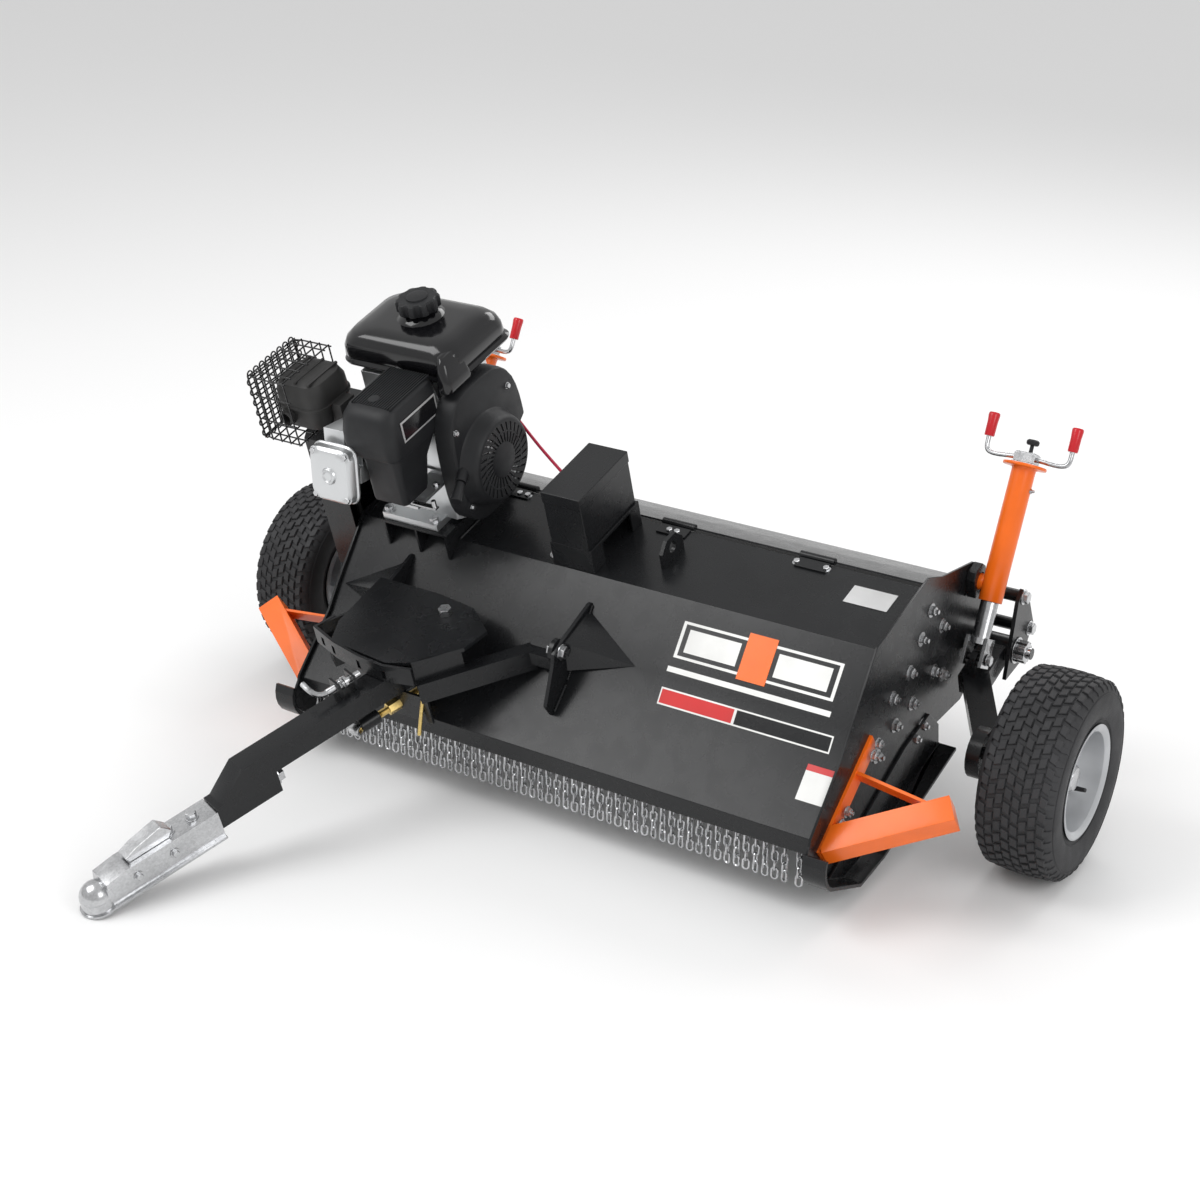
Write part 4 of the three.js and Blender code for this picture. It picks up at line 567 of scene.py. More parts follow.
@dataclass
class Housing:
    """Deck, side plates and everything bolted to them."""

    plate_out: float = 611.0
    deck_z: float = 320.0
    bolts: tuple[tuple[float, float, float], ...] = (
        (-18, 177, 19), (-93, 172, 19), (-19, 99, 19), (-94, 104, 19), (90, 249, 17), (82, 100, 17),
        (15, 13, 17), (-22, 9, 17), (-174, 92, 17), (130, 180, 17), (40, 215, 13), (118, 64, 17),
    )
    covered: tuple[float, float] = (-175, 40)
    guard_bolts: tuple[tuple[float, float], ...] = (
        (-188, 140), (-210, 128), (-325, 84), (-350, 74), (-392, 62),
    )
    refined: dict[str, float] = field(
        default_factory=lambda: {
            "deck_shell": 1.2, "side_plate_R": 0.9, "side_plate_L": 0.9, "skid_R": 1.2, "skid_L": 1.2,
            "lifting_lug": 1.5, "rear_hood": 1.0, "belt_cover": 1.6, "engine_platform": 1.2,
            "battery_tray": 0.8, "outer_bracket_R": 1.2, "outer_bracket_L": 1.2, "trunnion_block_R": 2.0,
            "trunnion_block_L": 2.0,
        }
    )

    def build(self) -> None:
        """Builds every piece of the housing."""
        for node, bevel in self.refined.items():
            refine(node, BLACK_PAINT, bevel)
        self.side_bolts()
        self.deck_fittings()
        self.labels()
        self.welds()

    def side_bolts(self) -> None:
        """Hexagon bolts through both side plates."""
        work = Workpiece()
        for side in (1, -1):
            out = Vector((side, 0, 0))
            for y, z, width in self.bolts:
                if side < 0 and self.covered[0] < y < self.covered[1]:
                    continue
                work.hexagon((side * self.plate_out, y, z), out, width, 9, 15)
                work.rod(
                    (side * (self.plate_out + 8), y, z), (side * (self.plate_out + 17), y, z), 4.5,
                    sides=16,
                )
            for y, z in self.guard_bolts:
                work.hexagon((side * (self.plate_out + 12.4), y, z + 2), out, 16, 8, 12)
                work.rod(
                    (side * (self.plate_out + 20), y, z + 2), (side * (self.plate_out + 27), y, z + 2), 4,
                    sides=16,
                )
        work.finish("side_plate_bolts", "chassis", BRIGHT_ZINC, bevel=0.4)

    def deck_fittings(self) -> None:
        """Stud, hold-down bolt, and the hood's hinge screws and tabs."""
        work = Workpiece()
        z = self.deck_z
        work.rod((-205, 33, z), (-205, 33, z + 62), 3.5, sides=16)
        work.hexagon((-205, 33, z), UP, 12, 7, 9)
        work.hexagon((-128, -98, z), UP, 17, 10, 14)
        work.rod((-128, -98, z + 10), (-128, -98, z + 24), 5, sides=16)
        for x in (-320, -300, 52, 70, 345, 410):
            work.hexagon((x, 52, z), UP, 12, 6, 9)
        work.finish("deck_bolts", "chassis", BRIGHT_ZINC, bevel=0.3)
        tabs = Workpiece()
        for x in (-330, 60, 378):
            tabs.box((x - 34, 40, z + 0.2), (x + 34, 68, z + 4))
        tabs.finish("hinge_tabs", "chassis", BLACK_PAINT, bevel=0.8)

    def labels(self) -> None:
        """Blank plates and stickers where the machine carries its markings."""
        plate = Workpiece()
        plate.box((484, -24, self.deck_z + 0.2), (576, 28, self.deck_z + 1.2))
        plate.finish("data_plate_blank", "chassis", LABEL_SILVER, bevel=0.3)
        white = Workpiece()
        sticker(white, Panel.UPPER, (210, 556), (0.27, 0.75))
        sticker(white, Panel.UPPER, (206, 560), (0.87, 0.94))
        sticker(white, Panel.FOLD, (207, 580), (0.34, 0.86))
        sticker(white, Panel.LOWER, (548, 603), (0.12, 0.58))
        field_width = 114
        for x in (228, 424):
            sticker(white, Panel.UPPER, (x, x + field_width), (0.36, 0.66), 1.4)
        white.finish("blank_stickers_white", "chassis", LABEL_WHITE)
        orange = Workpiece()
        sticker(orange, Panel.UPPER, (352, 414), (0.2, 0.8), 1.7)
        orange.finish("blank_sticker_orange", "chassis", ORANGE_PAINT)
        black = Workpiece()
        sticker(black, Panel.UPPER, (217, 549), (0.305, 0.715), 1.0)
        sticker(black, Panel.FOLD, (376, 577), (0.39, 0.81), 1.0)
        black.finish("blank_sticker_fields", "chassis", BLACK_PAINT)
        red = Workpiece()
        sticker(red, Panel.FOLD, (210, 370), (0.39, 0.81), 1.0)
        sticker(red, Panel.LOWER, (548, 603), (0.12, 0.2), 1.0)
        red.finish("blank_stickers_red", "chassis", LABEL_RED)

    def welds(self) -> None:
        """Weld beads where stands and brackets meet the deck."""
        work = Workpiece()
        for start, end, radius in (
            ((-352, -128, 321.5), (-352, 60, 321.5), 3.2),
            ((-518, -128, 321.5), (-518, 60, 321.5), 3.2),
            ((104, -62, 321), (104, 16, 321), 4.5),
            ((2, -176, 285), (2, -246, 230.5), 3.5),
            ((2, -252, 225.5), (2, -300, 184.5), 3.5),
            ((2, -306, 180.5), (2, -358, 150.5), 3.5),
            ((-458, -176, 285), (-458, -246, 230.5), 3.5),
        ):
            bead(work, start, end, radius)
        work.finish("weld_beads", "chassis", BLACK_PAINT)


def thread_profile(length: float, radius: float, pitch: float) -> list[tuple[float, float]]:
    """Section of a threaded rod, as (offset, radius) points.

    Args:
        length: length of the rod.
        radius: outer radius.
        pitch: distance between crests.

    Returns:
        Points from one end's centre to the other's.
    """
    points = [(0.0, 0.0), (0.0, radius - 0.8)]
    for k in range(int(length / pitch) - 1):
        points += [(pitch * (k + 0.5), radius - 1.0), (pitch * (k + 1), radius)]
    return points + [(length, radius - 0.8), (length, 0.0)]


def sticker(
    work: Workpiece, panel: Panel, xs: tuple[float, float], share: tuple[float, float], lift: float = 0.7,
) -> None:
    """Adds a thin plate lying on a sloping panel.

    Args:
        work: workpiece to add to.
        panel: the panel that it lies on.
        xs: left and right edges.
        share: upper and lower edges as a share of the panel's slope.
        lift: height of the plate's face over the panel.
    """
    top, bottom = panel.value
    down = Vector((0, bottom[0] - top[0], bottom[1] - top[1]))
    out = Vector((0, down.z, -down.y)).normalized()
    out = out if out.z > 0 else -out
    rings = []
    for height in (0.15, lift):
        corners = []
        for s, x in ((share[1], xs[0]), (share[1], xs[1]), (share[0], xs[1]), (share[0], xs[0])):
            corners.append(Vector((x, top[0], top[1])) + down * s + out * height)
        rings.append(corners)
    work.ring_skin(rings)


def bead(work: Workpiece, start: Point, end: Point, radius: float) -> None:
    """Adds a rippled weld bead.

    Args:
        work: workpiece to add to.
        start: first end.
        end: second end.
        radius: bead radius.
    """
    a, b = Vector(start), Vector(end)
    ripple = radius * 0.55
    count = max(6, int((b - a).length / ripple))
    u, v = across(b - a)
    rings = []
    for i in range(count + 1):
        p = a.lerp(b, i / count)
        r = radius * (1.0 if i % 2 else 0.78)
        r = r * 0.4 if i in (0, count) else r
        rings.append([p + (u * math.cos(t) + v * math.sin(t)) * r for t in turns(10)])
    work.ring_skin(rings)


@dataclass
class ChainCurtain:
    """Row of hanging chains behind the front lip."""

    rail: tuple[float, float] = (-420.0, 74.0)
    strands: int = 56
    first_x: float = -580.0
    last_x: float = 545.0
    end_x: float = 576.0
    rail_half: float = 590.0
    links: int = 5
    link: float = 27.0
    wire: float = 2.1
    bend: float = 6.5
    half_width: float = 6.2
    drop: float = 8.0

    def build(self) -> None:
        """Builds the rail and every link."""
        work = Workpiece()
        y, z = self.rail
        work.rod((-self.rail_half, y, z), (self.rail_half, y, z), 4.5, sides=16)
        step = (self.last_x - self.first_x) / (self.strands - 1)
        xs = [self.first_x + i * step for i in range(self.strands)] + [self.end_x]
        for i, x in enumerate(xs):
            self.strand(work, x, i)
        work.finish("chains", body_name("chain_curtain"), BRIGHT_ZINC, ["chain_curtain"])

    def strand(self, work: Workpiece, x: float, number: int) -> None:
        """Hangs one chain.

        Args:
            work: workpiece to add to.
            x: sideways place.
            number: strand number, which turns the links a little.
        """
        y, z = self.rail
        down = Vector((0, -math.sin(REST_TILT), -math.cos(REST_TILT)))
        pitch = self.link - 4 * self.wire
        for k in range(self.links):
            centre = Vector((x, y, z)) + down * (k * pitch + self.drop)
            twist = (0.5 if k % 2 else 0.0) * math.pi + 0.35 * math.sin(number * 2.3 + k)
            wide = Vector(
                (
                    math.cos(twist), math.sin(twist) * math.cos(REST_TILT),
                    -math.sin(twist) * math.sin(REST_TILT),
                )
            )
            points = []
            for t in turns(14):
                stretch = (self.link / 2 - self.bend - self.wire) * (1 if math.sin(t) > 0 else -1)
                points.append(
                    tuple(
                        centre + down * (
                            self.bend * math.sin(t) + stretch
                        ) + wide * (self.half_width * math.cos(t))
                    )
                )
            work.wire(points, self.wire, sides=6, closed=True)


# ---- wheels, arms and jacks ---------------------------------------------------------------


@dataclass
class Sided:
    """Something that the machine has once on each side."""

    side: int

    def tag(self) -> str:
        """Side letter of the nodes on this side."""
        return "R" if self.side > 0 else "L"


@dataclass
class Wheel(Sided):
    """Turf tyre on a pressed rim."""

    centre_x: float = 888.0
    radius: float = 203.0
    half: float = 79.0
    tread_half: float = 62.0
    tread_fall: float = 5.2
    tread_sink: float = 0.3
    rows: tuple[float, ...] = (-58.0, -41.5, -25.0, -8.5, 8.5, 25.0, 41.5, 58.0)
    blocks: int = 44

    def build(self) -> None:
        """Builds tyre, rim and hub fittings."""
        self.tyre()
        self.rim()

    def crown(self, offset: float) -> float:
        """Radius of the tread's top at a distance from the middle of the tyre."""
        return self.radius - self.tread_sink - self.tread_fall * (offset / self.tread_half) ** 2

    def tyre(self) -> None:
        """Carcass with staggered tread blocks and shoulder lugs."""
        work = Workpiece()
        h = self.half
        outer = [
            (-66, 103), (-68, 112), (-70, 119), (-75, 130), (-78, 145), (-79, 158), (-78, 170), (-75, 181),
            (-70, 189), (-60, 194), (-40, 196.6), (-20, 197.6), (0, 198), (20, 197.6), (40, 196.6),
            (60, 194), (70, 189), (75, 181), (78, 170), (79, 158), (78, 145), (75, 130), (70, 119),
            (68, 112), (66, 103), (54, 103), (50, 150), (0, 180), (-50, 150), (-54, 103),
        ]
        profile = [(o * h / 79.0 * self.side, r) for o, r in outer]
        work.turned(profile, (self.side * self.centre_x, 0, 0), RIGHT, sides=88)
        for ring_radius in (124, 176):
            offset = 72.5 if ring_radius == 124 else 76.5
            for way in (-1, 1):
                work.turned(
                    [
                        (way * offset - 1.4, ring_radius), (way * offset, ring_radius + 1.6),
                        (way * offset + 1.4, ring_radius), (way * offset, ring_radius - 1.6),
                    ],
                    (self.side * self.centre_x, 0, 0), RIGHT, sides=88,
                )
        for number, offset in enumerate(self.rows):
            self.tread_row(work, offset, 0.5 * (number % 2))
        for way in (-1, 1):
            for i in range(self.blocks):
                self.lug(work, way, 2 * math.pi * (i + 0.25 * way) / self.blocks)
        work.finish(
            f"tyre_{self.tag()}_rubber", body_name(f"tyre_{self.tag()}"), TYRE_RUBBER,
            [f"tyre_{self.tag()}"], angle=40,
        )

    def tread_row(self, work: Workpiece, offset: float, phase: float) -> None:
        """One ring of tread blocks.

        Args:
            work: workpiece to add to.
            offset: distance from the middle of the tyre.
            phase: shift in block pitches.
        """
        for i in range(self.blocks):
            a = 2 * math.pi * (i + phase) / self.blocks
            self.block(
                work, offset, a, 6.8, 0.047, self.crown(offset), 0.012 * (1 if int(offset) % 2 else -1),
            )

    def lug(self, work: Workpiece, way: int, a: float) -> None:
        """Shoulder lug running down the edge of the tread."""
        rings = []
        for (o0, o1), r in (((66, 76), 186.0), ((65, 73.5), 193.0)):
            ring = []
            for o, d in ((o0, -0.03), (o1, -0.022), (o1, 0.022), (o0, 0.03)):
                drop = 1.0 if o < 70 else 0.958
                ring.append(self.spot(way * o, a + d, (r + 3) * drop))
            rings.append(ring)
        work.ring_skin(rings)

    def spot(self, offset: float, a: float, r: float) -> Vector:
        """Chassis point from wheel coordinates."""
        return Vector((self.side * (self.centre_x + offset), r * math.sin(a), r * math.cos(a)))

    def block(
        self, work: Workpiece, offset: float, a: float, half: float, turn: float, top: float, skew: float,
    ) -> None:
        """One tread block with sloping flanks.

        Args:
            work: workpiece to add to.
            offset: distance from the middle of the tyre.
            a: angle round the tyre.
            half: half its width across the tread.
            turn: half its length, as an angle.
            top: radius of its top.
            skew: lean of its ends.
        """
        rings = []
        for grow, r in ((1.12, top - 8), (1.0, top - 1.0), (0.86, top)):
            ring = []
            for u, v in ((-1, -1), (1, -1), (1, 1), (-1, 1)):
                ring.append(self.spot(offset + u * half * grow, a + v * turn * grow + u * skew, r))
            rings.append(ring)
        work.ring_skin(rings)

    def rim(self) -> None:
        """Dished rim with hub, cap, bolts and valve."""
        s, c = self.side, (self.side * self.centre_x, 0.0, 0.0)
        work = Workpiece()
        profile = [
            (-73, 114), (-74, 112), (-73, 101), (-66, 98), (-24, 92), (-8, 88), (4, 66), (1, 40), (-60, 36),
            (-60, 13), (30, 13), (31, 30), (10, 36), (9, 62), (14, 84), (26, 92), (58, 97), (68, 99),
            (72, 104), (74.6, 112), (73.5, 114.6), (71, 113), (68, 104), (60, 101.5), (-60, 101.5),
            (-68, 104), (-71, 113),
        ]
        work.turned([(o * s, r) for o, r in profile], c, RIGHT, sides=80)
        work.finish(
            f"rim_{self.tag()}_pressing", body_name(f"rim_{self.tag()}"), RIM_GREY, [f"rim_{self.tag()}"],
            angle=38,
        )
        small = Workpiece()
        small.turned(
            [(28 * s, 0), (30 * s, 28), (44 * s, 27), (50 * s, 22), (52 * s, 0)], c, RIGHT,
            sides=40,
        )
        for a in turns(4):
            y, z = 47 * math.cos(a), 47 * math.sin(a)
            small.hexagon((s * (self.centre_x + 10), y, z), Vector((s, 0, 0)), 17, 11, 12)
        small.finish(f"hub_{self.tag()}_fittings", body_name(f"rim_{self.tag()}"), BRIGHT_ZINC, bevel=0.4)
        valve = Workpiece()
        start, end = (s * (self.centre_x + 22), 74 * 0.5, -74 * 0.86), (
            s * (self.centre_x + 56), 74 * 0.42, -74 * 0.74,
        )
        valve.rod(start, end, 5.5, 4.2, sides=20)
        valve.finish(f"valve_{self.tag()}", body_name(f"rim_{self.tag()}"), TYRE_RUBBER)


@dataclass
class Jack(Sided):
    """Screw jack with its two-handed crank, and the arm it lifts."""

    x: float = 660.0
    trunnion: tuple[float, float] = (271.6, 191.8)
    clevis: tuple[float, float] = (170.5, 81.3)
    arm_pivot: tuple[float, float] = (280, 26)
    tube: float = 24.0
    inner: float = 18.0
    above: float = 241.0
    below: float = 35.0
    reach: float = 88.0
    turn_deg: float = 0.0

    def axis(self) -> Vector:
        """Unit vector up the jack."""
        (ty, tz), (cy, cz) = self.trunnion, self.clevis
        return Vector((0, ty - cy, tz - cz)).normalized()

    def at(self, height: float, out: float = 0.0, forward: float = 0.0) -> Point:
        """Point on the jack, from its height above the trunnion and two offsets.

        Args:
            height: distance up the axis.
            out: distance away from the machine's middle.
            forward: distance square to the axis, towards the front and up.

        Returns:
            The chassis point.
        """
        n = self.axis()
        side_way = Vector((0, n.z, -n.y))
        base = Vector((0, *self.trunnion)) + n * height + side_way * forward
        return (self.side * (self.x + out), base.y, base.z)

    def build(self) -> None:
        """Builds the jack's visible pieces."""
        self.tubes()
        self.crank()
        self.arm()

    def tubes(self) -> None:
        """Painted outer tube with flange, stub and grease nipple, and the zinc leg."""
        n = self.axis()
        start = self.at(0)
        work = Workpiece()
        top = self.above
        work.turned(
            [
                (-self.below, 19.4), (top - 8, 19.4), (top - 8, 8), (top + 5, 8), (top + 5, 43),
                (top + 4, 44), (top, 44), (top - 1, 43), (top - 1, 27), (top - 5, 24.4),
                (top - 10, self.tube), (-self.below + 1, self.tube), (-self.below, 23),
            ],
            start, n, sides=48,
        )
        work.rod((self.side * 613, *self.trunnion), (self.side * (self.x - 19), *self.trunnion), 17, sides=36)
        work.finish(
            f"jack_tube_{self.tag()}_painted", body_name(f"jack_tube_{self.tag()}"), ORANGE_PAINT,
            [f"jack_tube_{self.tag()}"], bevel=0.0, angle=50,
        )
        nipple = Workpiece()
        nipple.rod(self.at(196, 22), self.at(197, 33), 3.4, 2.6, sides=14)
        nipple.hexagon(self.at(196, 24), Vector((self.side, 0, 0)), 9, 4)
        nipple.finish(f"jack_nipple_{self.tag()}", body_name(f"jack_tube_{self.tag()}"), BRIGHT_ZINC)
        refine(f"jack_inner_{self.tag()}", BRIGHT_ZINC, 0.6)

    def crank(self) -> None:
        """Crank bar, hub, locking knob and red grips."""
        base = self.above + 5.3
        turn = math.radians(self.turn_deg)
        c, s = math.cos(turn), math.sin(turn)
        body = body_name(f"jack_crank_{self.tag()}")

        def place(r: float, h: float, q: float = 0.0) -> Point:
            """Point on the crank from its reach, height and sideways offset."""
            return self.at(base + h, r * c - q * s, r * s + q * c)

        bar = Workpiece()
        for way in (-1, 1):
            line = [
                (way * 12, 13), (way * 34, 12), (way * 60, 10), (way * 76, 11), (way * 84, 15),
                (way * 87.5, 23), (way * self.reach, 34), (way * self.reach, 60),
            ]
            bar.wire([place(r, h) for r, h in smooth(line, 5)], 5.0, sides=16)
        bar.finish(f"crank_bar_{self.tag()}", body, BRIGHT_ZINC, [f"jack_crank_{self.tag()}"], angle=50)
        hub = Workpiece()
        for low, high, w, d in ((0, 3, 24, 19), (3, 22, 22, 17), (22, 24, 20, 15)):
            ring = [
                [Vector(place(u * w, h, v * d)) for u, v in ((-1, -1), (1, -1), (1, 1), (-1, 1))]
                for h in (low, high)
            ]
            hub.ring_skin(ring)
        hub.finish(f"crank_hub_{self.tag()}", body, BRIGHT_ZINC, bevel=1.2)
        knob = Workpiece()
        knob.rod(place(4, 22, 2), place(4, 40, 2), 4.0, sides=18)
        knob.turned(
            [(40, 0), (40, 11), (43, 13), (48, 13), (51, 10), (52, 0)], place(4, 0, 2), self.axis(),
            sides=28,
        )
        knob.finish(f"crank_knob_{self.tag()}", body, ENGINE_PLASTIC)
        screw = Workpiece()
        screw.rod(self.at(self.above - 120), self.at(base + 2), 7, sides=20)
        screw.finish(f"jack_screw_{self.tag()}", body, BARE_STEEL)
        for way, which in ((-1, "inner"), (1, "outer")):
            grip = Workpiece()
            n = self.axis()
            grip.turned(
                [(42, 5.6), (42, 9.6), (44, 10.4), (70, 10.6), (84, 11.8), (88, 11.4), (90, 9.5), (90, 0)],
                place(way * self.reach, 0), n, sides=36,
            )
            grip.finish(
                f"grip_{which}_{self.tag()}_red", body, GRIP_RED, [f"grip_{which}_{self.tag()}"], angle=45,
            )

    def arm(self) -> None:
        """Wheel arm with its nuts, the clevis pin's ends and the bracket's bolts."""
        tag, s = self.tag(), self.side
        refine(f"wheel_arm_{tag}", BLACK_PAINT, 1.4)
        work = Workpiece()
        y, z = self.arm_pivot
        work.hexagon((s * 699, y, z), Vector((s, 0, 0)), 42, 22, 28)
        work.rod((s * 720, y, z), (s * 731, y, z), 12.4, sides=28)
        for way in (-1, 1):
            work.hexagon((s * (self.x + way * 25), *self.clevis), Vector((s * way, 0, 0)), 20, 7, 12)
        work.finish(f"arm_nuts_{tag}", body_name(f"wheel_arm_{tag}"), BRIGHT_ZINC, bevel=0.6)
        more = Workpiece()
        for by, bz in ((y + 46, z + 104), (y + 66, z + 8)):
            more.hexagon((s * 698, by, bz), Vector((s, 0, 0)), 22, 10, 16)
        more.finish(f"bracket_bolts_{tag}", "chassis", BRIGHT_ZINC, bevel=0.5)


def smooth(points: list[tuple[float, float]], steps: int) -> list[tuple[float, float]]:
    """Fills a line with points along a smooth curve through it.

    Args:
        points: corner points.
        steps: points per stretch.

    Returns:
        The finer line.
    """
    made = []
    for i in range(len(points) - 1):
        p0, p1, p2 = points[max(i - 1, 0)], points[i], points[i + 1]
        p3 = points[min(i + 2, len(points) - 1)]
        for k in range(steps):
            t = k / steps
            made.append(
                tuple(
                    0.5 * (
                        2 * p1[j] + (p2[j] - p0[j]) * t + (
                            2 * p0[j] - 5 * p1[j] + 4 * p2[j] - p3[j]
                        ) * t * t + (3 * p1[j] - p0[j] - 3 * p2[j] + p3[j]) * t ** 3
                    )
                    for j in range(len(p1))
                )
            )
    made.append(points[-1])
    return made


@dataclass
class Guard(Sided):
    """Orange bumper in front of a wheel."""

    def build(self) -> None:
        """Builds the guard."""
        refine(f"guard_{self.tag()}", ORANGE_PAINT, 2.2)


# ---- engine -------------------------------------------------------------------------------


@dataclass
class Engine:
    """Single-cylinder engine with its covers, tank, air cleaner and exhaust."""

    crank_y: float = -44.0
    crank_z: float = 488.0
    recoil_x: float = -258.0
    blower_x: float = -339.7
    tank: tuple[float, float, float, float] = (-608.0, -303.0, -112.0, 132.0)
    cap: tuple[float, float] = (-459.0, 30.0)
    air: tuple[float, float, float, float] = (-478.0, -340.0, -268.0, -88.0)
    muffler: tuple[float, float, float, float, float, float] = (-684.0, -556.0, -226.0, -98.0, 590.0, 702.0)
    cage: tuple[float, float, float, float, float, float] = (-714.0, -612.0, -250.0, -80.0, 562.0, 726.0)

    def build(self) -> None:
        """Builds every visible piece of the engine."""
        refine("engine_block", CAST_ALLOY, 3.0)
        refine("throttle_lever", BRIGHT_ZINC, 0.8)
        refine("recoil_handle", ENGINE_PLASTIC, 2.0)
        self.blower()
        self.recoil()
        self.fuel_tank()
        self.fuel_cap()
        self.air_cleaner()
        self.valve_cover()
        self.fins()
        self.exhaust()
        self.wire_cage()
        self.fasteners()

    def blower(self) -> None:
        """Blower housing with its rounded edges and a rolled rim."""
        work = Workpiece()
        x0 = self.blower_x
        y, z = self.crank_y, self.crank_z
        outline = []
        for a in turns(48):
            ca, sa = math.cos(a), math.sin(a)
            top = 176 if sa > 0 else 127
            side = 140 if (ca > 0 and sa > 0) else 104
            k = (abs(ca) ** 3.2 + abs(sa) ** 3.2) ** (-1 / 3.2)
            outline.append((y + side * ca * k, z + top * sa * k))
        rings = []
        for x, f in ((x0, 1.0), (x0 + 34, 1.0), (x0 + 41, 0.985), (x0 + 44, 0.95)):
            rings.append([Vector((x, y + (p - y) * f, z + (q - z) * f)) for p, q in outline])
        work.ring_skin(rings)
        guide = ((x0 + 38, y - 60, z + 34), (x0 + 54, y - 114, z + 14))
        work.rod(*guide, 14, 12, sides=24)
        work.finish("blower_shroud", "chassis", ENGINE_PLASTIC, ["blower_housing"], bevel=1.5)

    def recoil(self) -> None:
        """Recoil drum with its ring of cooling slots."""
        c = (self.blower_x + 20, self.crank_y, self.crank_z)
        depth = self.recoil_x - c[0]
        work = Workpiece()
        work.turned(
            [
                (20, 0), (20, 103), (24, 103), (28, 99), (depth - 12, 93), (depth - 5, 89),
                (depth - 1.5, 84), (depth - 1.5, 80), (depth - 9, 80), (depth - 9, 0),
            ],
            c, RIGHT, sides=72,
        )
        work.finish("recoil_drum", "chassis", ENGINE_PLASTIC, angle=40)
        fan = Workpiece()
        fan.turned(
            [(depth - 8.9, 34), (depth - 7.4, 34), (depth - 7.4, 79.5), (depth - 8.9, 79.5)], c, RIGHT,
            sides=72,
        )
        fan.finish("cooling_fan", "chassis", CAST_ALLOY)
        ribs = Workpiece()
        centre = Vector(c)
        for a in turns(30):
            rings = []
            for x in (depth - 5.5, depth - 1.6):
                ring = []
                for r, t in ((37, -0.075), (60, -0.088), (81, -0.092), (81, 0.06), (60, 0.055), (37, 0.03)):
                    b = a + t + 0.006 * (r - 37)
                    ring.append(centre + Vector((x, r * math.cos(b), r * math.sin(b))))
                rings.append(ring)
            ribs.ring_skin(rings)
        ribs.turned(
            [(depth - 9, 0), (depth - 9, 39), (depth - 1.2, 38), (depth, 35), (depth, 0)], c, RIGHT,
            sides=48,
        )
        ribs.turned(
            [(depth - 4, 59), (depth - 1.4, 59), (depth - 1.4, 62), (depth - 4, 62)], c, RIGHT, sides=72,
        )
        ribs.finish("recoil_ribs", "chassis", ENGINE_PLASTIC, bevel=0.3)

    def fuel_tank(self) -> None:
        """Pressed tank: domed upper half, seam and lower half, cut back over the air cleaner."""
        x0, x1, y0, y1 = self.tank
        front = y0 + 27
        work = Workpiece()
        work.loft(
            [
                (x0 + 14, x1 - 12, front + 4, y1 - 12, 30, 690), (x0 + 8, x1 - 9, front, y1 - 9, 34, 697),
                (x0 + 9, x1 - 10, front + 1, y1 - 10, 36, 716),
                (x0 + 14, x1 - 13, front + 5, y1 - 14, 40, 731),
                (x0 + 26, x1 - 22, front + 14, y1 - 24, 42, 743),
                (x0 + 46, x1 - 36, front + 28, y1 - 40, 40, 750),
                (x0 + 70, x1 - 60, front + 48, y1 - 64, 34, 751.5),
            ],
            steps=8,
        )
        work.loft(
            [
                (x0 + 30, x1 - 24, front + 10, y1 - 14, 34, 670),
                (x0 + 6, x1 - 4, front - 1, y1 - 4, 36, 680), (x0 + 4, x1 - 2, front - 2, y1 - 2, 36, 684),
                (x0 + 14, x1 - 12, front + 4, y1 - 12, 32, 692),
            ],
            steps=8,
        )
        work.loft(
            [
                (x1 - 36, x1 - 4, y0 + 3, front + 60, 12, 672),
                (x1 - 36, x1 - 1, y0 + 1, front + 60, 14, 682),
                (x1 - 37, x1 - 8, y0 + 8, front + 60, 14, 700),
                (x1 - 37, x1 - 12, y0 + 14, front + 60, 12, 724),
                (x1 - 37, x1 - 24, y0 + 26, front + 60, 6, 740),
            ],
            steps=6,
        )
        cx, cy = self.cap
        work.turned(
            [(745, 0), (745, 52), (752, 50), (757, 40), (764, 31), (766, 0)], (cx, cy, 0),
            UP, sides=48,
        )
        work.finish("fuel_tank_shell", "chassis", TANK_BLACK, ["fuel_tank"], angle=50)

    def fuel_cap(self) -> None:
        """Cap with finger grips and a raised middle."""
        cx, cy = self.cap
        work = Workpiece()
        rings = []
        for z, scale, depth in (
            (766.5, 0.93, 2.0), (769, 1.0, 3.0), (787, 1.0, 3.0), (791, 0.95, 2.4), (793, 0.85, 1.0),
            (792.5, 0.62, 0.0),
        ):
            ring = []
            for a in turns(120):
                r = (46 - depth + depth * math.tanh(3 * math.cos(a * 10))) * scale
                ring.append(Vector((cx + r * math.cos(a), cy + r * math.sin(a), z)))
            rings.append(ring)
        work.ring_skin(rings)
        work.turned(
            [(788, 0), (788, 24), (795, 22), (796, 19), (796, 0)], (cx, cy, 0), UP, sides=48,
        )
        work.finish("fuel_cap_moulding", body_name("fuel_cap"), ENGINE_PLASTIC, ["fuel_cap"], angle=30)

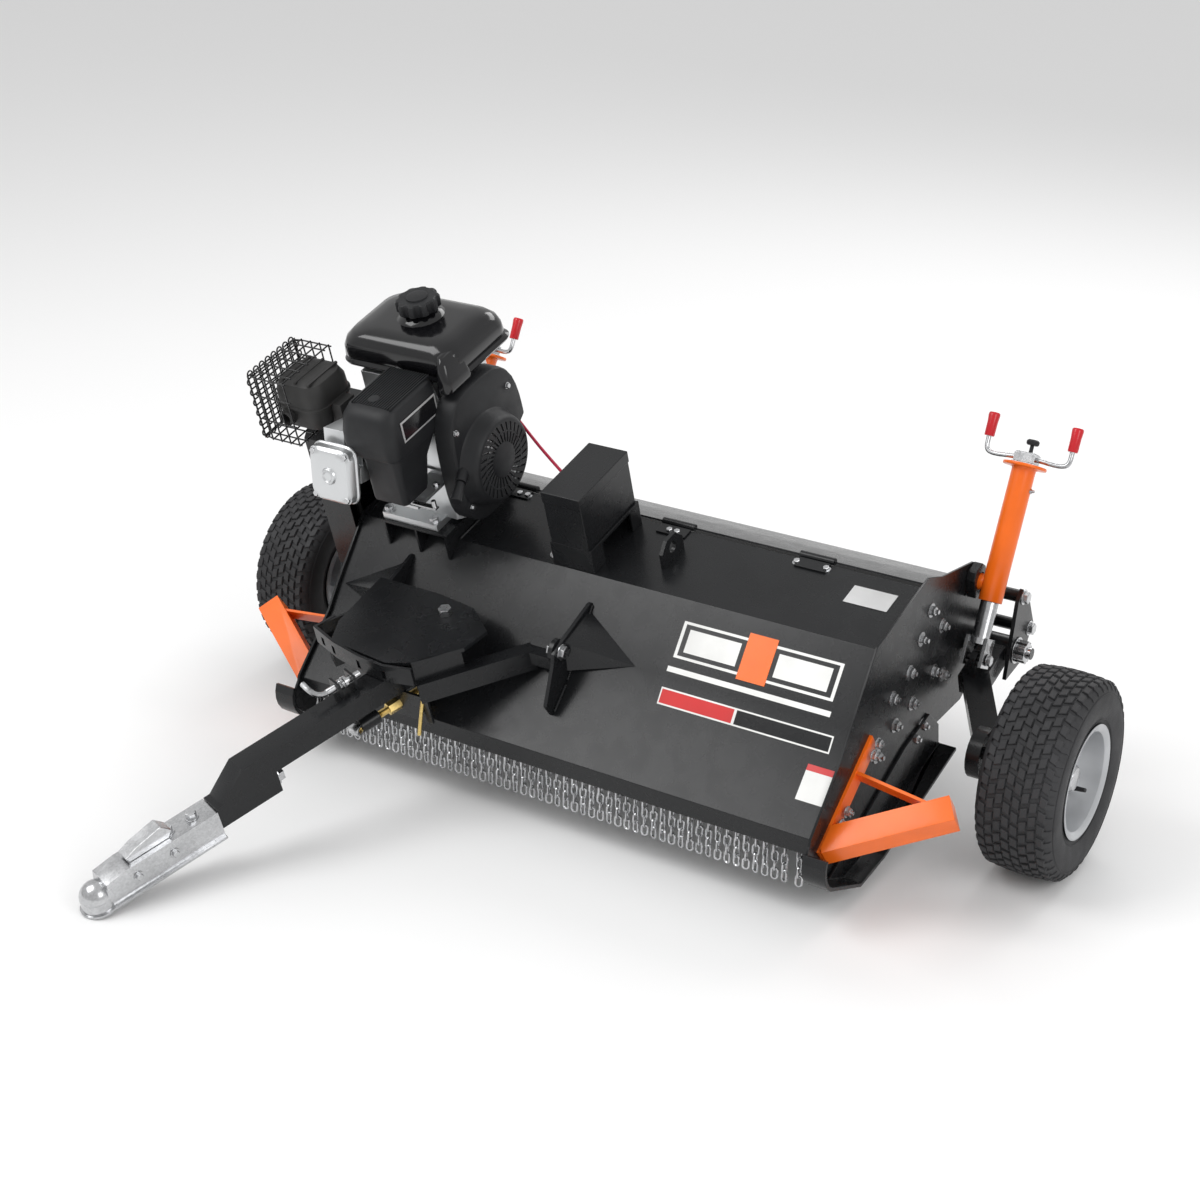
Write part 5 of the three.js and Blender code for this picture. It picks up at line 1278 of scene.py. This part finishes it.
    def air_cleaner(self) -> None:
        """Air cleaner cover with its ribbed top, wing nut, blank badge and intake box."""
        x0, x1, y0, y1 = self.air
        work = Workpiece()
        work.loft(
            [
                (x0 + 3, x1 - 2, y0 + 3, y1 - 4, 22, 600), (x0, x1, y0, y1, 26, 606),
                (x0 + 1, x1 - 1, y0 + 2, y1, 28, 650), (x0 + 5, x1 - 4, y0 + 10, y1 - 2, 30, 684),
                (x0 + 12, x1 - 10, y0 + 22, y1 - 6, 30, 698), (x0 + 24, x1 - 22, y0 + 38, y1 - 14, 26, 703),
            ],
            steps=7,
        )
        for i in range(17):
            x = x0 + 22 + i * 5.9
            work.box((x, y0 + 40, 700), (x + 2.6, y1 - 8, 705))
        work.loft(
            [
                (x0 + 42, x1 - 12, y0 + 12, y0 + 88, 10, 492),
                (x0 + 40, x1 - 10, y0 + 11, y0 + 92, 12, 500), (x0 + 40, x1 - 8, y0 + 9, y0 + 110, 14, 560),
                (x0 + 39, x1 - 4, y0 + 7, y1 - 32, 18, 601),
            ],
            steps=5,
        )
        work.finish("air_cleaner_moulding", "chassis", ENGINE_PLASTIC, ["air_cleaner"], bevel=0.5)
        knob = Workpiece()
        centre = ((x0 + x1) / 2 - 6, y0 + 62, 0)
        knob.turned([(702, 0), (702, 13), (705.5, 12), (705.8, 0)], centre, UP, sides=28)
        knob.finish("air_cleaner_knob", "chassis", ENGINE_PLASTIC)
        badge = Workpiece()
        badge.box((x1 - 1.4, y0 + 40, 630), (x1 - 0.1, y1 - 26, 676))
        badge.finish("badge_frame_blank", "chassis", LABEL_SILVER, bevel=0.3)
        face = Workpiece()
        face.box((x1 - 1.0, y0 + 44, 634), (x1 + 0.2, y1 - 30, 672))
        face.finish("badge_face_blank", "chassis", TANK_BLACK, bevel=0.3)

    def valve_cover(self) -> None:
        """Cast cover on the cylinder head with its boss and bolts."""
        work = Workpiece()
        work.loft(
            [
                (-60, 52, -62, 62, 24, 0.3), (-60, 52, -62, 62, 24, 4), (-57, 49, -59, 59, 24, 7),
                (-55, 47, -57, 57, 24, 20), (-50, 42, -51, 51, 22, 26), (-42, 34, -43, 43, 18, 27.5),
            ],
            steps=6,
        )
        work.turned(
            [(26, 0), (26, 19), (32, 16), (33.5, 12), (31, 9), (31, 0)], (-4, 0, 0), UP,
            sides=36,
        )
        corners = ((-44, -46), (36, -46), (-44, 46), (36, 46))
        for x, y in corners:
            work.turned([(4, 0), (4, 10), (21, 9), (22, 0)], (x, y, 0), UP, sides=24)
        matrix = Matrix.Translation((-486, -281, 562)) @ Matrix.Rotation(math.radians(76), 4, "X")
        work.transform(matrix)
        work.finish("valve_cover_casting", "chassis", CAST_ALLOY, ["valve_cover"], bevel=0.8)
        bolts = Workpiece()
        for x, y in corners:
            bolts.hexagon((x, y, 21), UP, 12, 6, 0)
        bolts.transform(matrix)
        bolts.finish("valve_cover_bolts", "chassis", BRIGHT_ZINC, bevel=0.3)

    def fins(self) -> None:
        """Cooling fins round the cylinder and head."""
        work = Workpiece()
        for i in range(8):
            y = -268 + i * 17
            work.box((-536, y, 484), (-444 if y < -180 else -430, y + 3.4, 576))
        work.transform(
            Matrix.Translation((0, -44, 488)) @ Matrix.Rotation(
                math.radians(-14), 4, "X",
            ) @ Matrix.Translation((0, 44, -488))
        )
        work.finish("cylinder_fins", "chassis", CAST_ALLOY, bevel=0.4)

    def exhaust(self) -> None:
        """Two-shell muffler with a folded seam, ribs and outlet."""
        x0, x1, y0, y1, z0, z1 = self.muffler
        m = (z0 + z1) / 2
        work = Workpiece()
        work.loft(
            [
                (x0 + 26, x1 - 26, y0 + 26, y1 - 26, 26, z0),
                (x0 + 12, x1 - 12, y0 + 12, y1 - 12, 30, z0 + 6),
                (x0 + 4, x1 - 4, y0 + 4, y1 - 4, 34, z0 + 24), (x0 + 3, x1 - 3, y0 + 3, y1 - 3, 34, m - 3),
                (x0, x1, y0, y1, 36, m - 2.5), (x0, x1, y0, y1, 36, m + 2.5),
                (x0 + 3, x1 - 3, y0 + 3, y1 - 3, 34, m + 3), (x0 + 4, x1 - 4, y0 + 4, y1 - 4, 34, z1 - 24),
                (x0 + 12, x1 - 12, y0 + 12, y1 - 12, 30, z1 - 6),
                (x0 + 26, x1 - 26, y0 + 26, y1 - 26, 26, z1),
            ],
            steps=7,
        )
        work.box((x1 - 30, y0 + 42, z0 + 12), (x1 + 22, y0 + 88, z0 + 58))
        for dx in (30, 64, 98):
            work.box((x0 + dx, y0 + 16, z1 - 4), (x0 + dx + 6, y1 - 16, z1 + 1.5))
        work.finish("muffler_shells", "chassis", MUFFLER_BLACK, ["muffler"], bevel=0.8)
        pipe = Workpiece()
        cx, cz = x0 + 44, m - 18
        pipe.turned(
            [(0, 12), (30, 12), (30, 17), (2, 17), (0, 15)], (cx, y0 - 12, cz), Vector((0, 1, 0)), sides=36,
        )
        pipe.finish("muffler_outlet", "chassis", MUFFLER_BLACK)

    def wire_cage(self) -> None:
        """Wire guard: an outer wall of long loops, and top, bottom, front and rear walls."""
        x0, x1, y0, y1, z0, z1 = self.cage
        work = Workpiece()
        r, loop = 1.7, 9.0
        xa, ya, yb, za, zb = x0 + r, y0 + loop, y1 - loop, z0 + loop, z1 - loop
        work.wire(
            [(xa + 2, ya, za), (xa + 2, yb, za), (xa + 2, yb, zb), (xa + 2, ya, zb)], r * 1.3, sides=8,
            closed=True,
        )
        across_count, up_count = 8, 6
        ys = [ya + (k + 0.5) * (yb - ya) / across_count for k in range(across_count)]
        zs = [za + (k + 0.5) * (zb - za) / up_count for k in range(up_count)]
        for y in ys:
            self.hairpin(work, (xa, y, za), (xa, y, zb), (0, 1, 0), 7.0, r)
        for z in zs:
            self.hairpin(work, (xa + 4, ya, z), (xa + 4, yb, z), (0, 0, 1), 7.0, r)
        for z in (za, za + 44, zb - 44, zb):
            for y, way in ((ya, 1), (yb, -1)):
                work.wire(
                    [(x1, y, z), (xa + 22, y, z), (xa + 8, y + way * 3, z), (xa + 3, y + way * 14, z)], r,
                    sides=8,
                )
        for k in range(4):
            x = xa + 22 + k * 24
            for y in (ya, yb):
                work.wire([(x, y, za - 3), (x, y, zb + 3)], r, sides=8)
            for z in (za - 2, zb + 2):
                work.wire([(x, ya, z), (x, yb, z)], r, sides=8)
        for k in range(5):
            y = ya + 20 + k * (yb - ya - 40) / 4
            for z in (za - 2, zb + 2):
                work.wire([(xa + 3, y, z), (x1, y, z)], r, sides=8)
        work.finish("cage_wires", "chassis", TANK_BLACK, ["muffler_cage"], angle=60)

    @staticmethod
    def hairpin(work: Workpiece, start: Point, end: Point, wide: Point, half: float, radius: float) -> None:
        """Adds a long wire loop whose two round ends stand past the frame wire.

        Args:
            work: workpiece to add to.
            start: middle of one end.
            end: middle of the other end.
            wide: direction across the loop.
            half: half the loop's width.
            radius: wire radius.
        """
        a, b, w = Vector(start), Vector(end), Vector(wide)
        n = (b - a).normalized()
        points = []
        for middle, way in ((b, 1), (a, -1)):
            for k in range(7):
                t = math.pi * k / 6
                points.append(tuple(middle + w * (half * way * math.cos(t)) + n * (way * 7.0 * math.sin(t))))
        work.wire(points, radius, sides=8, closed=True)

    def fasteners(self) -> None:
        """Bolts of the foot, covers and control plate."""
        work = Workpiece()
        for x, y in ((-510, -148), (-392, -148), (-510, 60), (-392, 60)):
            work.hexagon((x, y, 371), UP, 17, 9, 14)
        for y, z in ((-130, 420), (-130, 600), (40, 420), (54, 600)):
            work.hexagon((self.blower_x + 44, y, z), RIGHT, 10, 5, 7)
        for x, y in ((-396, -190), (-362, -150)):
            work.hexagon((x, y, 471), UP, 10, 5, 8)
        work.finish("engine_bolts", "chassis", BRIGHT_ZINC, bevel=0.3)


@dataclass
class Battery:
    """Battery box on its stand, with the cable to the engine."""

    low: Point = (-113.0, -128.0, 376.0)
    high: Point = (-20.0, 54.0, 501.0)

    def build(self) -> None:
        """Builds the box with its folded lid, and the cable."""
        (x0, y0, z0), (x1, y1, z1) = self.low, self.high
        box = Workpiece()
        box.box((x0 + 1.5, y0 + 1.5, z0), (x1 - 1.5, y1 - 1.5, z1 - 24))
        box.box((x0, y0, z1 - 26), (x1, y1, z1))
        box.finish("battery_case", "chassis", BLACK_PAINT, ["battery_box"], bevel=1.8)
        cable = Workpiece()
        line = smooth([(-330, 94, 503), (-224, 30.5, 482.5), (-115.4, -33, 470)], 10)
        cable.wire(line, 3.3, sides=14)
        cable.finish("battery_lead", "chassis", CABLE_RED, ["battery_cable"])


@dataclass
class Drive:
    """Rotor, bearings, pulleys and belt."""

    nodes: tuple[tuple[str, Finish, float], ...] = (
        ("rotor", BARE_STEEL, 0.8), ("bearing_R", BARE_STEEL, 1.2), ("bearing_L", BARE_STEEL, 1.2),
        ("engine_pulley", BARE_STEEL, 0.4), ("rotor_pulley", BARE_STEEL, 0.4),
        ("drive_belt", BELT_RUBBER, 0.5),
    )

    def build(self) -> None:
        """Builds the drive train's pieces."""
        for node, finish, bevel in self.nodes:
            refine(node, finish, bevel)


# ---- hitch --------------------------------------------------------------------------------


@dataclass
class Hitch:
    """Front brackets, swing frame, drawbar, lock pin, levelling screw and coupler."""

    pin_height: float = 268.0
    ball_reach: float = 860.0
    screw_height: float = 156.0

    def build(self) -> None:
        """Builds the hitch from the brackets to the coupler."""
        for node, finish, bevel in (
            ("hitch_bracket_L", BLACK_PAINT, 1.0), ("hitch_bracket_R", BLACK_PAINT, 1.0),
            ("hitch_frame", BLACK_PAINT, 1.0), ("drawbar", BLACK_PAINT, 2.4), ("coupler", BRIGHT_ZINC, 2.2),
            ("coupler_latch", BRIGHT_ZINC, 1.4), ("lock_pin", BRIGHT_ZINC, 0.5),
            ("pivot_bolt", BRIGHT_ZINC, 0.8),
        ):
            refine(node, finish, bevel)
        self.spring()
        self.level_screw()
        self.coupler_bolts()
        self.hinge_bolts()

    def spring(self) -> None:
        """Coil spring of the lock pin."""
        work = Workpiece()
        points = []
        for k in range(97):
            a = k / 96 * 2 * math.pi * 6
            points.append(
                along_towbar(-12 + 10 * math.cos(a), 254 + k / 96 * 17, self.pin_height + 10 * math.sin(a))
            )
        work.wire(points, 1.4, sides=8)
        work.finish("lock_pin_spring", body_name("drawbar"), BRIGHT_ZINC)

    def level_screw(self) -> None:
        """Levelling screw under the drawbar: hanger, thread, hexagon barrel, sleeve, eye and handle."""
        z = self.screw_height
        hanger = Workpiece()
        hanger.box((-344, -464, z - 30), (-228, -458, 193.7))
        hanger.rod(along_towbar(0, 206, z), along_towbar(0, 250, z), 15, sides=32)
        top = 117.6
        hanger.box((-301, -420, top - 3), (-285, -402, z + 4))
        hanger.finish("level_screw_hanger", "chassis", BLACK_PAINT, ["level_screw"], bevel=0.8)
        screw = Workpiece()
        screw.turned(
            thread_profile(167, 8.0, 3.0), along_towbar(0, 95, z),
            tow_direction(), sides=28,
        )
        screw.rod((-242, -462, 184), (-254, -484, z - 50), 4, sides=16)
        screw.finish("level_screw_thread", "chassis", YELLOW_ZINC)
        barrel = Workpiece()
        barrel.hexagon(
            along_towbar(0, 152, z), tow_direction(), 24, 30,
        )
        barrel.finish("level_screw_barrel", "chassis", YELLOW_ZINC, bevel=0.6)
        eye = Workpiece()
        x, y, _ = along_towbar(0, 258, z)
        eye.turned(
            [(-11, 6), (11, 6), (12, 8), (12, 12), (10, 13), (-10, 13), (-12, 12), (-12, 8)], (x, y, z),
            RIGHT, sides=32,
        )
        eye.finish("level_screw_eye", "chassis", BRIGHT_ZINC)

    def coupler_bolts(self) -> None:
        """Bolt heads on the coupler's top and sides."""
        floor = 128.0
        work = Workpiece()
        for along in (636, 690):
            work.hexagon(along_towbar(0, along, floor + 64), UP, 19, 11, 14)
        side = Vector((math.cos(TOW_YAW), -math.sin(TOW_YAW), 0))
        for along in (700, 780):
            for way in (-1, 1):
                work.hexagon(along_towbar(way * 29, along, floor + 36), side * way, 13, 6, 10)
        work.finish("coupler_fasteners", body_name("coupler"), BRIGHT_ZINC, bevel=0.5)

    def hinge_bolts(self) -> None:
        """Nuts on the swing frame's two hinge bolts."""
        work = Workpiece()
        for x, way in ((-456, -1), (0, 1)):
            work.hexagon((x + way * 0.4, -296, 256), Vector((way, 0, 0)), 24, 9, 17)
        for x, way in ((-437.4, 1), (-18.6, -1)):
            work.hexagon((x, -296, 256), Vector((way, 0, 0)), 24, 9, 17)
        work.finish("hinge_bolt_nuts", "chassis", BRIGHT_ZINC, bevel=0.6)


# ---- studio -------------------------------------------------------------------------------


@dataclass
class Studio:
    """Pale floor, soft light and the camera."""

    azimuth: float = 33.25
    elevation: float = 24.41
    lens: float = 61.62
    camera_offset: Point = (2.0532, -3.3501, 2.1260)

    def build(self) -> None:
        """Sets the scene round the machine."""
        self.floor()
        self.world()
        self.lamp("key_light", (-2.6, -2.4, 4.6), (3.0, 3.0), 130.0)
        self.lamp("fill_light", (4.2, -1.4, 3.0), (2.4, 2.4), 60.0)
        self.lamp("back_light", (0.4, 4.4, 3.8), (4.0, 1.6), 80.0)
        self.camera()

    def floor(self) -> None:
        """Lays the floor."""
        work = bmesh.new()
        bmesh.ops.create_grid(work, x_segments=1, y_segments=1, size=40.0)
        data = bpy.data.meshes.new("floor")
        work.to_mesh(data)
        work.free()
        floor = bpy.data.objects.new("floor", data)
        bpy.context.scene.collection.objects.link(floor)
        made = bpy.data.materials.new("pale_floor")
        made.use_nodes = True
        shader = made.node_tree.nodes["Principled BSDF"]
        shader.inputs["Base Color"].default_value = (0.9, 0.9, 0.9, 1)
        shader.inputs["Roughness"].default_value = 0.9
        data.materials.append(made)

    def world(self) -> None:
        """Even white surroundings."""
        world = bpy.data.worlds.new("studio")
        world.use_nodes = True
        background = world.node_tree.nodes["Background"]
        background.inputs["Color"].default_value = (1, 1, 1, 1)
        background.inputs["Strength"].default_value = 0.7
        bpy.context.scene.world = world
        bpy.context.scene.view_settings.view_transform = "Standard"

    def lamp(self, name: str, at: Point, size: tuple[float, float], power: float) -> None:
        """Hangs a soft box aimed at the machine.

        Args:
            name: lamp name.
            at: its place.
            size: width and height.
            power: watts.
        """
        data = bpy.data.lights.new(name, "AREA")
        data.shape = "RECTANGLE"
        data.size, data.size_y = size
        data.energy = power
        lamp = bpy.data.objects.new(name, data)
        bpy.context.scene.collection.objects.link(lamp)
        lamp.location = at
        lamp.rotation_mode = "QUATERNION"
        lamp.rotation_quaternion = (Vector((0, 0, 0.35)) - Vector(at)).to_track_quat("-Z", "Y")

    def camera(self) -> None:
        """Stands the camera at the front right."""
        data = bpy.data.cameras.new("camera")
        data.lens = self.lens
        data.sensor_width = 36.0
        camera = bpy.data.objects.new("camera", data)
        bpy.context.scene.collection.objects.link(camera)
        a, e = math.radians(self.azimuth), math.radians(self.elevation)
        back = Vector((math.sin(a) * math.cos(e), -math.cos(a) * math.cos(e), math.sin(e)))
        x, y, z = self.camera_offset
        camera.location = (x, y + axle_centre().y, z)
        camera.rotation_mode = "QUATERNION"
        camera.rotation_quaternion = (-back).to_track_quat("-Z", "Y")
        bpy.context.scene.camera = camera


def main() -> None:
    """Builds the machine from the ground up, then the studio."""
    logging.basicConfig(level=logging.INFO, format="%(name)s %(message)s")
    parts = [Studio(), Housing(), ChainCurtain(), Drive(), Engine(), Battery(), Hitch()]
    for side in (1, -1):
        parts += [Wheel(side), Jack(side, turn_deg=0.0 if side > 0 else 22.0), Guard(side)]
    for part in parts:
        part.build()


if __name__ == "__main__":
    main()
